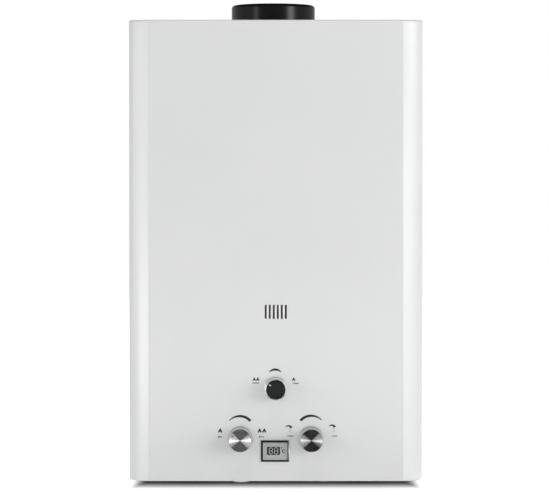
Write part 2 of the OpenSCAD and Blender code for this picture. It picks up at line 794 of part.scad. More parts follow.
// One burner bar: waisted sheet body, round mixing mouth and a row of flame ports
module burner_bar() {
    half = bar_w / 2;
    port_w = 1.6;
    mouth_r = bar_w * 0.32;
    pitch = (bar_back - bar_front - 10) / (port_count - 1);
    difference() {
        translate([0, bar_back, bar_low]) rotate([90, 0, 0]) linear_extrude(bar_back - bar_front)
            polygon([[-half * 0.8, 0], [half * 0.8, 0], [half * 0.8, bar_l * 0.42], [half * 0.4, bar_l * 0.55],
                [half * 0.4, bar_l * 0.68], [half, bar_l * 0.82], [half, bar_l - 1], [half - 1, bar_l],
                [-half + 1, bar_l], [-half, bar_l - 1], [-half, bar_l * 0.82], [-half * 0.4, bar_l * 0.68],
                [-half * 0.4, bar_l * 0.55], [-half * 0.8, bar_l * 0.42]]);
        translate([0, 0, manifold_z]) rod_y(mouth_r, bar_front - over, bar_front + mouth_l);
        for (i = [0 : port_count - 1]) translate([0, bar_front + 5 + i * pitch, 0])
            block([-half - over, -port_w / 2, bar_low + bar_l - 3],
                [half + over, port_w / 2, bar_low + bar_l + over]);
    }
}

module burner_bars() {
    color("#8f9396") lift() for (i = [0 : bar_count - 1])
        translate([(i - (bar_count - 1) / 2) * bar_pitch, 0, 0]) burner_bar();
}

// Square gas tube in front of the burner, with a feed hole below
module manifold() {
    wall = 1.5;
    half = manifold_w / 2;
    color("lightsteelblue") lift() translate([0, manifold_y, manifold_z]) difference() {
        block([-manifold_half, -half, -half], [manifold_half, half, half]);
        block([-manifold_half + wall, -half + wall, -half + wall],
            [manifold_half - wall, half - wall, half - wall]);
        rod_z(neck_r - 1.5, -half - over, -half + wall + over);
    }
}

module nozzles() {
    color("#c9a24b") lift() for (i = [0 : bar_count - 1])
        translate([(i - (bar_count - 1) / 2) * bar_pitch, 0, manifold_z]) difference() {
            union() {
                rod_y(3, chamber_front - nozzle_l, chamber_front - nozzle_l / 2);
                rod_y(1.8, chamber_front - nozzle_l / 2, chamber_front + chamber_t);
            }
            rod_y(0.5, chamber_front - nozzle_l - over, chamber_front + chamber_t + over);
        }
}

// Ceramic sleeves of the spark electrode and the flame probe
module electrode_ceramics() {
    color("ivory") lift() at_electrodes() difference() {
        union() {
            rod_y(ceramic_r, chamber_front - ceramic_out, chamber_front + ceramic_in);
            rod_y(ceramic_r + 2, chamber_front - ceramic_out / 3, chamber_front);
        }
        rod_y(wire_r + run_gap, chamber_front - ceramic_out - over, chamber_front + ceramic_in + over);
    }
}

module electrode_wires() {
    tail = chamber_front - 1.5 * ceramic_out;
    reach = chamber_front + 2.2 * ceramic_in;
    color("dimgray") lift() at_electrodes()
        tube_along([[0, tail, 0], [0, reach, 0], [0, reach, -spark_drop]], wire_r, wire_r, 3 * wire_r);
}

// Threaded connection: thread, relieved shank in the bottom plate, hexagon on it, spigot above
module connection(x, down) {
    tip = 1;
    hex_top = bottom_top + hex_l;
    translate([x, -stub_d, 0]) difference() {
        union() {
            rotate_extrude() polygon([[0, -down], [stub_r - tip, -down], [stub_r, -down + tip],
                [stub_r, thread_top], [stub_r - fit_gap, thread_top], [stub_r - fit_gap, bottom_top + over],
                [spigot_r, bottom_top + over], [spigot_r, hex_top + spigot_l], [0, hex_top + spigot_l]]);
            translate([0, 0, bottom_top]) cylinder(r = hex_r, h = hex_l, $fn = 6);
        }
        rod_z(stub_bore, -down - over, hex_top + spigot_l + over);
    }
}

module gas_inlet() {
    color("#c9a24b") lift() connection(gas_x, gas_down);
}

module cold_inlet() {
    color("#c9a24b") lift() connection(cold_x, cold_down);
}

module hot_outlet() {
    color("#c9a24b") lift() connection(hot_x, hot_down);
}

// Nuts that clamp the connections to the bottom plate
module lock_nuts() {
    color("#c9a24b") lift() at_stubs() difference() {
        translate([0, 0, bottom_h - hex_l]) cylinder(r = hex_r, h = hex_l, $fn = 6);
        rod_z(stub_r + run_gap, bottom_h - hex_l - over, bottom_h + over);
    }
}

// Outside of a valve's inlet leg, from the barrel down to the connection
module leg_body(x) {
    block([x - leg_half + 2, valve_y, side_h - leg_half], [x + leg_half - 2, -stub_d, side_h + leg_half]);
    translate([x, -stub_d, 0]) rod_z(leg_r, bottom_top + hex_l, side_h + leg_half);
}

// Socket and passage inside a valve's inlet leg
module leg_bore(x) {
    seat = bottom_top + hex_l;
    translate([x, -stub_d, 0]) {
        rod_z(spigot_r + run_gap, seat - over, seat + spigot_l + fit_gap);
        rod_z(stub_bore, seat, side_h);
    }
    translate([x, 0, side_h]) rod_y(stub_bore - 0.5, valve_y, -stub_d);
}

// Cast gas valve: barrel across, spindle housing to the front, inlet leg at the rear, outlet pad on top
module gas_valve() {
    color("silver") lift() difference() {
        union() {
            translate([0, valve_y, side_h]) rod_x(barrel_r, gas_left, gas_right);
            translate([-side_x, 0, side_h]) rod_y(housing_r, housing_front, valve_y);
            block([-side_x - riser_r - 4, valve_y - riser_r - 4, side_h],
                [-side_x + riser_r + 4, valve_y + riser_r + 4, side_h + barrel_r + pad_l]);
            leg_body(gas_x);
        }
        translate([0, valve_y, side_h]) {
            rod_x(gas_cavity_r, gas_left + wall_l, gas_right - wall_l);
            rod_x(rod_r + run_gap, gas_right - wall_l - over, gas_right + over);
            rod_x(stem_r + run_gap, gas_left - over, gas_left + wall_l + over);
        }
        translate([-side_x, 0, side_h])
            rod_y(spindle_r + run_gap, housing_front - over, housing_front + spindle_in + over);
        translate([-side_x, valve_y, 0]) rod_z(riser_r - tube_t, side_h, side_h + barrel_r + pad_l + over);
        leg_bore(gas_x);
    }
}

// Disc on the push rod's end that lets the gas through
module gas_poppet() {
    color("#303030") lift() translate([0, valve_y, side_h]) rod_x(poppet_r, poppet_x, poppet_x + poppet_l);
}

// Coil housing on the gas valve's left end
module gas_solenoid() {
    deep = plunger_l + plunger_stroke + 1.5;
    color("#2f4a78") lift() translate([0, valve_y, side_h]) difference() {
        union() {
            rod_x(solenoid_r, gas_left - solenoid_l, gas_left - 3);
            rod_x(barrel_r, gas_left - 3, gas_left);
        }
        rod_x(plunger_r + run_gap, gas_left - deep, gas_left + over);
    }
}

module solenoid_plunger() {
    disc_x = gas_left + wall_l + plunger_stroke + 1;
    color("dimgray") lift() translate([0, valve_y, side_h]) {
        rod_x(plunger_r, gas_left - plunger_l, gas_left - fit_gap);
        rod_x(stem_r, gas_left - fit_gap - over, disc_x + over);
        rod_x(poppet_r - 1, disc_x, disc_x + 2.5);
    }
}

// Gas tube from the gas valve's pad to the season valve's side
module gas_riser() {
    path = [[-side_x, valve_y, side_h + barrel_r + pad_l], [-side_x, valve_y, season_h],
        [-side_x, riser_y, season_h], [-season_half, riser_y, season_h]];
    color("lightsteelblue") lift() tube_along(path, riser_r, tube_t, riser_bend);
}

// Cast valve that feeds part or all of the burner, with its neck up to the manifold
module season_valve() {
    top = season_h + season_half;
    color("silver") lift() difference() {
        union() {
            block([-season_half, season_front, season_h - season_half], [season_half, season_back, top]);
            translate([0, manifold_y, 0]) rod_z(neck_r, top - over, manifold_z - manifold_w / 2);
        }
        translate([0, 0, season_h])
            rod_y(season_spindle_r + run_gap, season_front - over, season_front + season_in + over);
        translate([0, manifold_y, 0]) rod_z(neck_r - 1.5, season_h + season_half / 2, manifold_z);
        translate([0, riser_y, season_h]) rod_x(riser_r - tube_t, -season_half - over, 0);
    }
}

// Spindle from inside a valve to the inside of its knob's face
module spindle(x, z, r, up, inner) {
    translate([x, 0, z]) rod_y(r, front_y - panel_gap - up + knob_t + fit_gap, inner);
}

module season_spindle() {
    color("silver") lift() spindle(0, season_h, season_spindle_r, season_up, season_front + season_in);
}

module gas_spindle() {
    color("silver") lift() spindle(-side_x, side_h, spindle_r, knob_up, housing_front + spindle_in);
}

module water_spindle() {
    color("silver") lift() spindle(side_x, side_h, spindle_r, knob_up, housing_front + spindle_in);
}

// Hollow knob: drawn with its face up, then turned to face the front
module knob_body(face_r, base_r, up, bore_r, pointer) {
    chamfer = 0.8;
    hub_r = bore_r + 2.5;
    difference() {
        union() {
            rotate_extrude($fn = 64) polygon([[0, up - knob_t], [0, up],
                [face_r - chamfer, up], [face_r, up - chamfer],
                [base_r, 0], [face_r - knob_t, 0], [face_r - knob_t, up - knob_t]]);
            difference() {
                cylinder(r = hub_r, h = up - knob_t / 2);
                translate([0, 0, -over]) cylinder(r = bore_r + run_gap, h = up - knob_t + over);
            }
        }
        rotate([0, 0, pointer]) translate([0, face_r * 0.74, up - 0.5]) cylinder(r = dimple_r, h = over);
    }
}

// Lower knob: turned metal cap on a wider skirt
module side_knob(x, pointer) {
    translate([x, front_y - panel_gap, side_h]) rotate([90, 0, 0]) {
        knob_body(knob_r, knob_r + 0.6, knob_up, spindle_r, pointer);
        rotate_extrude($fn = 64) polygon([[knob_r - 0.5, 0], [skirt_r, 0], [skirt_r, skirt_t - 0.6],
            [skirt_r - 0.6, skirt_t], [knob_r - 0.5, skirt_t]]);
    }
}

module gas_knob() {
    color("silver") lift() side_knob(-side_x, gas_pointer);
}

module water_knob() {
    color("silver") lift() side_knob(side_x, water_pointer);
}

// Upper knob: black cap in a bright ring
module season_knob() {
    color("#1c1c1c") lift() translate([0, front_y - panel_gap, season_h]) rotate([90, 0, 0])
        knob_body(season_r, season_r + season_taper, season_up, season_spindle_r, season_pointer);
}

module season_ring() {
    inner = season_r + season_taper + run_gap;
    outer = season_r + 2.2;
    neck = inner + 1.2;
    top = season_up - 0.8;
    color("silver") lift() translate([0, front_y - panel_gap, season_h]) rotate([90, 0, 0])
        rotate_extrude($fn = 64) polygon([[inner, 0], [outer, 0], [outer, skirt_t], [neck + 0.4, skirt_t + 0.3],
            [neck, top - 1.3], [inner + 0.4, top], [inner, top]]);
}

// Cast water valve: diaphragm flange, barrel, spindle housing, inlet leg, drain boss and outlet boss
module water_valve() {
    boss_r = tube_r + 3;
    boss_l = 7;
    drain_low = side_h - barrel_r - 4;
    color("#c9a24b") lift() difference() {
        union() {
            translate([0, valve_y, side_h]) {
                rod_x(diaphragm_r, water_left, water_left + flange_l);
                rod_x(barrel_r, water_left + over, water_right);
                rod_x(boss_r, water_right - over, water_right + boss_l);
            }
            translate([side_x, 0, side_h]) rod_y(housing_r, housing_front, valve_y);
            translate([side_x, valve_y, 0]) rod_z(plug_stem_r + 3, drain_low, side_h);
            leg_body(cold_x);
        }
        translate([0, valve_y, side_h]) {
            rod_x(cavity_r, water_left - over, water_left + flange_l - 2);
            rod_x(barrel_r - 4, water_left + over, water_right - wall_l);
            rod_x(tube_r - tube_t, water_right - wall_l - over, water_right + over);
            rod_x(tube_r + run_gap, water_right, water_right + boss_l + over);
        }
        translate([side_x, 0, side_h])
            rod_y(spindle_r + run_gap, housing_front - over, housing_front + spindle_in + over);
        translate([side_x, valve_y, 0]) rod_z(plug_stem_r + run_gap, drain_low - over, side_h);
        leg_bore(cold_x);
    }
}

module diaphragm() {
    color("#303030") lift() translate([0, valve_y, side_h])
        rod_x(diaphragm_r, water_left - diaphragm_t, water_left);
}

// Cover of the diaphragm, with a guide for the push rod
module water_cover() {
    guide_l = 5;
    color("#c9a24b") lift() translate([0, valve_y, side_h]) difference() {
        union() {
            rod_x(diaphragm_r, cover_left + guide_l, water_left - diaphragm_t);
            rod_x(rod_r + 7, cover_left, cover_left + guide_l + over);
        }
        rod_x(cavity_r, water_left - diaphragm_t - cavity_l, water_left);
        rod_x(rod_r + run_gap, cover_left - over, water_left);
    }
}

// Rod from the diaphragm's plate to the gas poppet, with a collar for the switch lever
module push_rod() {
    color("lightgray") lift() translate([0, valve_y, side_h]) {
        rod_x(cavity_r - 4, rod_plate_x, rod_plate_x + rod_plate_l);
        rod_x(rod_r, poppet_x + poppet_l, rod_plate_x + over);
        rod_x(collar_r, collar_x, collar_x + collar_l);
    }
}

// Hand plug below the casing that empties the water valve
module drain_plug() {
    head_r = plug_stem_r + 3;
    head_low = -3;
    head_l = 9;
    flutes = 10;
    color("#c9a24b") lift() translate([side_x, valve_y, 0]) {
        rod_z(plug_stem_r, head_low + over, side_h - barrel_r + 3);
        difference() {
            rod_z(head_r, head_low, head_low + head_l);
            for (i = [0 : flutes - 1]) rotate([0, 0, i * 360 / flutes]) translate([head_r + 0.6, 0, 0])
                rod_z(1.4, head_low - over, head_low + head_l + over);
        }
    }
}

module cold_pipe() {
    color("#c68b5e") lift() tube_along([[water_right, valve_y, side_h], [coil_x, valve_y, side_h],
        [coil_x, valve_y, coil_low - coil_tail]], tube_r, tube_t, tube_bend);
}

// Hot tube down the left rear to its connection
module hot_pipe() {
    y = tube_y(tube_rows - 1);
    color("#c68b5e") lift() tube_along([
        [hot_x, y, joint_z], [hot_x, y, hot_bend_z + hot_run], [hot_x, -stub_d, hot_bend_z],
        [hot_x, -stub_d, bottom_top + hex_l + spigot_l]], tube_r, tube_t, tube_bend);
}

// Round cut-out clipped to the hot tube
module thermostat() {
    y = tube_y(tube_rows - 1);
    clip_r = tube_r + 2;
    color("dimgray") lift() translate([hot_x, y, hot_bend_z + thermostat_up]) difference() {
        union() {
            rod_z(clip_r, -5, 5);
            rod_y(8, -clip_r - 8, -clip_r + 2);
        }
        rod_z(tube_r + run_gap, -8 - over, 8 + over);
    }
}

// Z-shaped sheet that carries the switch on the diaphragm cover
module switch_bracket() {
    t = 1;
    low = switch_low - side_h;
    color("silver") lift() translate([0, valve_y + 6, side_h]) rotate([90, 0, 0]) linear_extrude(12)
        polygon([[cover_left - t, low], [cover_left - t, low + switch_l], [cover_left + 5 - t, low + switch_l],
            [cover_left + 5 - t, low], [cover_left + 5, low], [cover_left + 5, low + switch_l + t],
            [cover_left - 2 * t, low + switch_l + t], [cover_left - 2 * t, low]]);
}

// Switch housing with cheeks that carry the lever's pin
module micro_switch() {
    half = lever_w / 2 + fit_gap + 2.5;
    right = cover_left - 2;
    left = lever_x - 5;
    color("#303030") lift() translate([0, valve_y, 0]) difference() {
        block([left, -half, switch_low], [right, half, switch_low + switch_l]);
        block([left - over, -lever_w / 2 - fit_gap, switch_low - over],
            [lever_x + lever_t + 2.2, lever_w / 2 + fit_gap, pivot_z + 4]);
        translate([lever_x + lever_t / 2, 0, pivot_z]) rod_y(pivot_r + run_gap, -half - over, half + over);
    }
}

module switch_lever() {
    half = lever_w / 2 + fit_gap + 2.5;
    color("silver") lift() translate([0, valve_y, 0]) {
        block([lever_x, -lever_w / 2, side_h + rod_r + 0.5], [lever_x + lever_t, lever_w / 2, pivot_z]);
        translate([lever_x + lever_t / 2, 0, pivot_z]) {
            rod_y(pivot_r, -half, half);
            rod_y(pivot_r + 0.7, -lever_w / 2, lever_w / 2);
        }
    }
}

// Spark box on the bottom plate, with two lead sockets on top
module igniter() {
    size = [igniter_w, igniter_d, igniter_h];
    low = [-half_w + sheet_t + igniter_gap, panel_in + igniter_gap, bottom_top];
    tower_r = 5;
    bore_r = 3;
    tower_l = 8;
    color("#303030") lift() {
        block(low, low + size);
        for (x = [0.3, 0.7]) translate([low.x + x * size.x, low.y + size.y / 2, 0]) difference() {
            rod_z(tower_r, low.z + size.z - over, low.z + size.z + tower_l);
            rod_z(bore_r, low.z + size.z + 1, low.z + size.z + tower_l + over);
        }
    }
}

// Pyramid cut between two rectangles, for the bezel's mitred bevel
module bevel_cut(half_in, half_out, y_in, y_out) {
    intersection() {
        translate([0, 0, -bezel_l]) linear_extrude(2 * bezel_l)
            polygon([[-half_in.x, y_in], [half_in.x, y_in], [half_out.x, y_out], [-half_out.x, y_out]]);
        rotate([90, 0, 90]) translate([0, 0, -bezel_w]) linear_extrude(2 * bezel_w)
            polygon([[y_in, -half_in.y], [y_in, half_in.y], [y_out, half_out.y], [y_out, -half_out.y]]);
    }
}

module display_bezel() {
    half = [glass_w / 2, glass_l / 2];
    frame = [bezel_w / 2, bezel_l / 2];
    sleeve = half + [1, 1];
    face = front_y - bezel_up;
    color("#303030") lift() translate([0, 0, display_h]) difference() {
        union() {
            block([-frame.x, face, -frame.y], [frame.x, front_y, frame.y]);
            block([-sleeve.x, front_y - 0.5, -sleeve.y], [sleeve.x, panel_in + bezel_deep, sleeve.y]);
        }
        block([-half.x, face - over, -half.y], [half.x, panel_in + bezel_deep + over, half.y]);
        bevel_cut(half, half + [1.4, 1.4], front_y, face - 0.01);
    }
}

// Layer of the display that fills the bezel's sleeve
module display_layer(from, to) {
    slack = 0.1;
    translate([0, 0, display_h])
        block([-glass_w / 2 + slack, from, -glass_l / 2 + slack],
            [glass_w / 2 - slack, to, glass_l / 2 - slack]);
}

module display_lens() {
    color("#c8d2cc") lift() display_layer(front_y, front_y + glass_t);
}

module display_module() {
    color("#9aa39b") lift() display_layer(front_y + glass_t, front_y + glass_t + module_t);
}

module display_board() {
    rear = panel_in + bezel_deep;
    color("#2f6b3f") lift() translate([0, 0, display_h]) {
        block([-board_w / 2, rear, -board_l / 2], [board_w / 2, rear + board_t, board_l / 2]);
        block([-6, rear + board_t - 0.1, -4], [6, rear + board_t + 5, 4]);
    }
}

// Two-cell box that hangs in the bottom plate, open below
module battery_box() {
    half = [cell_w / 2, cell_d / 2];
    rim = half + [box_t + box_rim, box_t + box_rim];
    rim_low = bottom_h - box_rim_t;
    color("#d8d8d8") lift() translate([box_x, box_y, 0]) difference() {
        union() {
            block([-half.x - box_t, -half.y - box_t, rim_low],
                [half.x + box_t, half.y + box_t, bottom_top + cell_h + box_t]);
            block([-rim.x, -rim.y, rim_low], [rim.x, rim.y, bottom_h]);
            for (side = [0, 1]) mirror([side, 0, 0])
                block([door_half + fit_gap, rim.y - over, door_mid - barrel_door_r],
                    [door_half + fit_gap + ear_t, hinge_y - box_y + barrel_door_r, bottom_h]);
        }
        block([-half.x, -half.y, rim_low - over], [half.x, half.y, bottom_top + cell_h]);
        translate([0, hinge_y - box_y, door_mid]) rod_x(pin_r + run_gap, -half_w, half_w);
    }
}

// Contact plates on the box's ceiling
module battery_contacts() {
    t = 0.6;
    top = bottom_top + cell_h;
    color("silver") lift() for (side = [-1, 1]) translate([box_x + side * (cell_r + 1), box_y, 0]) {
        block([-9, -7, top - t], [9, 7, top]);
        rod_z(4, top - t - 1.2, top - t / 2);
    }
}

// Hinged door under the box, with a finger lip
module battery_door() {
    front = box_y - cell_d / 2 - box_t - box_rim;
    low = door_mid - door_t / 2;
    color("#d8d8d8") lift() translate([box_x, 0, 0]) difference() {
        union() {
            block([-door_half, front, low], [door_half, hinge_y, low + door_t]);
            block([-12, front, low - 2.5], [12, front + 3, low + 0.1]);
            translate([0, hinge_y, door_mid]) rod_x(barrel_door_r, -door_half, door_half);
        }
        translate([0, hinge_y, door_mid]) rod_x(pin_r + run_gap, -half_w, half_w);
    }
}

module door_pin() {
    reach = door_half + fit_gap + ear_t;
    color("silver") lift() translate([box_x, hinge_y, door_mid]) rod_x(pin_r, -reach, reach);
}

front_cover();
back_plate();
bottom_plate();
cover_screws();
flue_collar();
draft_hood();
heat_chamber();
fins();
finned_tube();
jacket_coil();
chamber_brackets();
pipe_unions();
draft_sensor();
window_pane();
window_frame();
burner_frame();
burner_bars();
manifold();
nozzles();
electrode_ceramics();
electrode_wires();
gas_inlet();
gas_valve();
gas_poppet();
gas_solenoid();
solenoid_plunger();
gas_riser();
season_valve();
season_spindle();
season_knob();
season_ring();
gas_spindle();
gas_knob();
cold_inlet();
water_valve();
diaphragm();
water_cover();
push_rod();
water_spindle();
water_knob();
drain_plug();
cold_pipe();
hot_pipe();
hot_outlet();
thermostat();
lock_nuts();
switch_bracket();
micro_switch();
switch_lever();
igniter();
display_bezel();
display_lens();
display_module();
display_board();
battery_box();
battery_contacts();
battery_door();
door_pin();
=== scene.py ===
import math

import bmesh
import bpy
from mathutils import Matrix, Vector


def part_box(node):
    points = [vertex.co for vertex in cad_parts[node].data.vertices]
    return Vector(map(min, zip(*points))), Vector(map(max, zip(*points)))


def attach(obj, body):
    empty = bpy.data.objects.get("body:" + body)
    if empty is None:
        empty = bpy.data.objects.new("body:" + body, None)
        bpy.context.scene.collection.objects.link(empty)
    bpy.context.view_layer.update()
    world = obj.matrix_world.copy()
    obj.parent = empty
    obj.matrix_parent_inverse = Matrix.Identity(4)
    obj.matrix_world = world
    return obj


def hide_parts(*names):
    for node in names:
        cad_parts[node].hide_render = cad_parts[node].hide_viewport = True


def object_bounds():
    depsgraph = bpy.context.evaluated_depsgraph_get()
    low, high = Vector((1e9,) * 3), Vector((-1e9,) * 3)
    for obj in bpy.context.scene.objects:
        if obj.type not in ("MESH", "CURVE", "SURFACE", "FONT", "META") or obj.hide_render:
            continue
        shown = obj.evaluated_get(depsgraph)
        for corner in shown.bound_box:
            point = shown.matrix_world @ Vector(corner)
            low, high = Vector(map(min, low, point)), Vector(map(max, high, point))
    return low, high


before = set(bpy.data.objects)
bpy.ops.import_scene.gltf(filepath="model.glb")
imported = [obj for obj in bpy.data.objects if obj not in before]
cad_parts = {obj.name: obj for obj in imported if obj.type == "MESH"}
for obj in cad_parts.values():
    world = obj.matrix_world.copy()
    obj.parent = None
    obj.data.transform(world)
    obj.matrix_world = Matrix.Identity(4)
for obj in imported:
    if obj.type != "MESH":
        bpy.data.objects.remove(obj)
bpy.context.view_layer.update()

# Back plate, brackets and bottom plate: cold-rolled sheet with a zinc coat, pressed, punched and folded.
# The coat shows soft crystal spangles and a grey that shifts a little from crystal to crystal.


def shader_of(mat):
    """The shader that a material's surface goes through."""
    return mat.node_tree.nodes["Principled BSDF"]


def new_finish(name, colour, rough, metal=0.0):
    """A material whose shader has its plain values set."""
    mat = bpy.data.materials.new(name)
    mat.use_nodes = True
    shader = shader_of(mat)
    shader.inputs["Base Color"].default_value = (*colour, 1)
    shader.inputs["Roughness"].default_value = rough
    shader.inputs["Metallic"].default_value = metal
    return mat


def add_node(mat, kind, **values):
    """A node in a material, with its settings and its input values filled in."""
    node = mat.node_tree.nodes.new(kind)
    for key, value in values.items():
        if hasattr(node, key):
            setattr(node, key, value)
        else:
            node.inputs[key.replace("_", " ")].default_value = value
    return node


def join(mat, source, output, target, socket):
    """Links a node's output to another node's input."""
    mat.node_tree.links.new(source.outputs[output], target.inputs[socket])


def object_point(mat, stretch=(1, 1, 1)):
    """Object coordinates, stretched along the axes."""
    coord = add_node(mat, "ShaderNodeTexCoord")
    mapping = add_node(mat, "ShaderNodeMapping", Scale=stretch)
    join(mat, coord, "Object", mapping, "Vector")
    return mapping


def tone(mat, source, output, dark, light, low=0.3, high=0.7):
    """Base colour between two tones, led by a pattern."""
    ramp = add_node(mat, "ShaderNodeValToRGB")
    ramp.color_ramp.elements[0].position = low
    ramp.color_ramp.elements[0].color = (*dark, 1)
    ramp.color_ramp.elements[1].position = high
    ramp.color_ramp.elements[1].color = (*light, 1)
    join(mat, source, output, ramp, "Fac")
    join(mat, ramp, "Color", shader_of(mat), "Base Color")


def sheen_range(mat, source, output, low, high):
    """Roughness between two values, led by a pattern."""
    spread = add_node(mat, "ShaderNodeMapRange", To_Min=low, To_Max=high)
    join(mat, source, output, spread, "Value")
    join(mat, spread, "Result", shader_of(mat), "Roughness")


def relief(mat, source, output, strength, depth):
    """Surface relief, led by a pattern."""
    bump = add_node(mat, "ShaderNodeBump", Strength=strength, Distance=depth)
    join(mat, source, output, bump, "Height")
    join(mat, bump, "Normal", shader_of(mat), "Normal")


def clothe(mat, *names):
    """Gives CAD nodes their finish."""
    for name in names:
        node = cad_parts[name]
        if not node.material_slots:
            node.data.materials.append(mat)
        for slot in node.material_slots:
            slot.material = mat


def zinc_sheet():
    """Zinc coat on sheet: crystals of slightly different grey and polish."""
    mat = new_finish("zinc_sheet", (0.55, 0.56, 0.57), 0.38, 0.85)
    cells = add_node(mat, "ShaderNodeTexVoronoi", Scale=210)
    join(mat, object_point(mat), "Vector", cells, "Vector")
    tone(mat, cells, "Color", (0.52, 0.53, 0.545), (0.6, 0.61, 0.62), 0.1, 0.9)
    sheen_range(mat, cells, "Color", 0.36, 0.46)
    relief(mat, cells, "Distance", 0.08, 0.0001)
    return mat


clothe(zinc_sheet(), "back_plate", "bottom_plate", "chamber_brackets", "switch_bracket")

# Heat chamber, fins, serpentine, jacket coil and water pipes: copper, brazed together.
# The metal is dull pink-brown with darker clouds where heat and handling have toned it.


def clouded_metal(name, dark, light, rough, scale, metal=1.0, stretch=(1, 1, 1), depth=0.0001):
    """Bare or plated metal with clouds of a darker tone, drawn out along an axis where it is stretched."""
    mat = new_finish(name, light, rough[0], metal)
    clouds = add_node(mat, "ShaderNodeTexNoise", Scale=scale, Detail=6.0)
    join(mat, object_point(mat, stretch), "Vector", clouds, "Vector")
    tone(mat, clouds, "Fac", dark, light)
    sheen_range(mat, clouds, "Fac", *rough)
    relief(mat, clouds, "Fac", 0.15, depth)
    return mat


clothe(clouded_metal("copper", (0.42, 0.17, 0.09), (0.72, 0.36, 0.22), (0.28, 0.5), 45),
       "heat_chamber", "fins", "finned_tube", "jacket_coil", "cold_pipe", "hot_pipe")

# Draft hood, burner frame, burner bars and window frame: stainless sheet, folded and spot welded.
# Rolled grain runs along the sheet, with a faint straw tint from the fire.
clothe(clouded_metal("stainless", (0.42, 0.39, 0.34), (0.62, 0.61, 0.59), (0.25, 0.42), 30,
                     stretch=(1, 1, 14)),
       "draft_hood", "burner_frame", "burner_bars", "window_frame")

# Gas manifold, riser, spindles, push rod, plunger, electrode wires and door pin: plain drawn steel.
# The switch lever and the battery contacts are stamped from steel strip with the same fine lines.
clothe(clouded_metal("drawn_steel", (0.4, 0.41, 0.42), (0.62, 0.63, 0.64), (0.25, 0.4), 60,
                     stretch=(8, 1, 8)),
       "manifold", "gas_riser", "season_spindle", "gas_spindle", "water_spindle", "push_rod",
       "solenoid_plunger", "electrode_wires", "switch_lever", "battery_contacts", "door_pin")

# Gas valve and season valve: aluminium alloy, die cast and shot blasted to a matt grey.
# The seats and the bores for the spindles are machined after casting.
clothe(clouded_metal("cast_alloy", (0.5, 0.51, 0.52), (0.66, 0.67, 0.68), (0.5, 0.65), 220,
                     metal=0.9, depth=0.0003),
       "gas_valve", "season_valve")

# Water valve, its cover, unions, nozzles, lock nuts and drain plug: brass, forged and machined.
# The machined faces keep faint bands from the tool.
clothe(clouded_metal("brass", (0.6, 0.4, 0.15), (0.8, 0.6, 0.27), (0.22, 0.4), 70, stretch=(1, 1, 10)),
       "water_valve", "water_cover", "pipe_unions", "nozzles", "lock_nuts", "drain_plug")

# Connections: brass threads, nickel plated because they stay in sight under the casing.
# The lock nuts hold them in the bottom plate.
clothe(clouded_metal("nickel", (0.62, 0.61, 0.59), (0.78, 0.77, 0.75), (0.25, 0.38), 180),
       "gas_inlet", "cold_inlet", "hot_outlet")

# Diaphragm and gas poppet: moulded rubber, black with a soft bloom.
# The diaphragm is clamped between the water valve and its cover, and the poppet moves with the push rod.


def moulded(name, dark, light, rough, scale, depth):
    """Moulded plastic or rubber with a fine grained skin."""
    mat = new_finish(name, light, rough[0])
    skin = add_node(mat, "ShaderNodeTexNoise", Scale=scale, Detail=4.0)
    join(mat, object_point(mat), "Vector", skin, "Vector")
    tone(mat, skin, "Fac", dark, light)
    sheen_range(mat, skin, "Fac", *rough)
    relief(mat, skin, "Fac", 0.2, depth)
    return mat


clothe(moulded("rubber", (0.018, 0.018, 0.018), (0.04, 0.04, 0.04), (0.6, 0.8), 400, 0.0001),
       "diaphragm", "gas_poppet")

# Switch, igniter, sensors and solenoid: dark moulded housings, the solenoid's coil cover in blue.
# Each is fixed to the sheet, the pipe or the valve beside it.
clothe(moulded("dark_housing", (0.02, 0.02, 0.021), (0.045, 0.045, 0.047), (0.4, 0.55), 600, 0.0001),
       "micro_switch", "igniter", "draft_sensor", "thermostat")
clothe(moulded("coil_cover", (0.03, 0.07, 0.2), (0.05, 0.11, 0.28), (0.35, 0.5), 500, 0.0001),
       "gas_solenoid")

# Electrode sleeves: glazed porcelain, cream with faint specks.
# They carry the spark electrode and the flame probe through the chamber's front wall.
clothe(moulded("porcelain", (0.7, 0.66, 0.58), (0.84, 0.81, 0.74), (0.12, 0.22), 300, 0.00005),
       "electrode_ceramics")

# Battery box and door: white moulded plastic with a fine spark-eroded grain.
# The box hangs in the bottom plate's opening, and the door swings down on a steel pin.
clothe(moulded("white_plastic", (0.74, 0.74, 0.73), (0.8, 0.8, 0.79), (0.42, 0.55), 900, 0.00008),
       "battery_box", "battery_door")

# Circuit board: glass-fibre sheet under a green solder mask, with darker shadows of its tracks.
# It closes the back of the display's frame.
clothe(moulded("solder_mask", (0.01, 0.09, 0.03), (0.02, 0.16, 0.06), (0.25, 0.4), 250, 0.00005),
       "display_board")

# Window pane: thin mica split from a block, clear with amber clouds.
# A stainless frame clamps it to the heat chamber behind the flame slots, so that the fire can be seen.


def mica_sheet():
    """Thin mica: light passes through, tinted by amber clouds."""
    dark, light, rough = (0.7, 0.6, 0.42), (0.85, 0.78, 0.62), (0.15, 0.3)
    mat = new_finish("mica", light, rough[0])
    shader_of(mat).inputs["Transmission Weight"].default_value = 0.6
    clouds = add_node(mat, "ShaderNodeTexNoise", Scale=120.0, Detail=3.0)
    join(mat, object_point(mat), "Vector", clouds, "Vector")
    tone(mat, clouds, "Fac", dark, light)
    sheen_range(mat, clouds, "Fac", *rough)
    return mat


clothe(mica_sheet(), "window_pane")

# Cover screws: zinc-plated steel with pan heads and a cross recess, cold headed.
# They hold the cover's sides to the back plate's flanges.
clothe(clouded_metal("plated_screw", (0.55, 0.56, 0.57), (0.72, 0.73, 0.74), (0.2, 0.32), 300),
       "cover_screws")

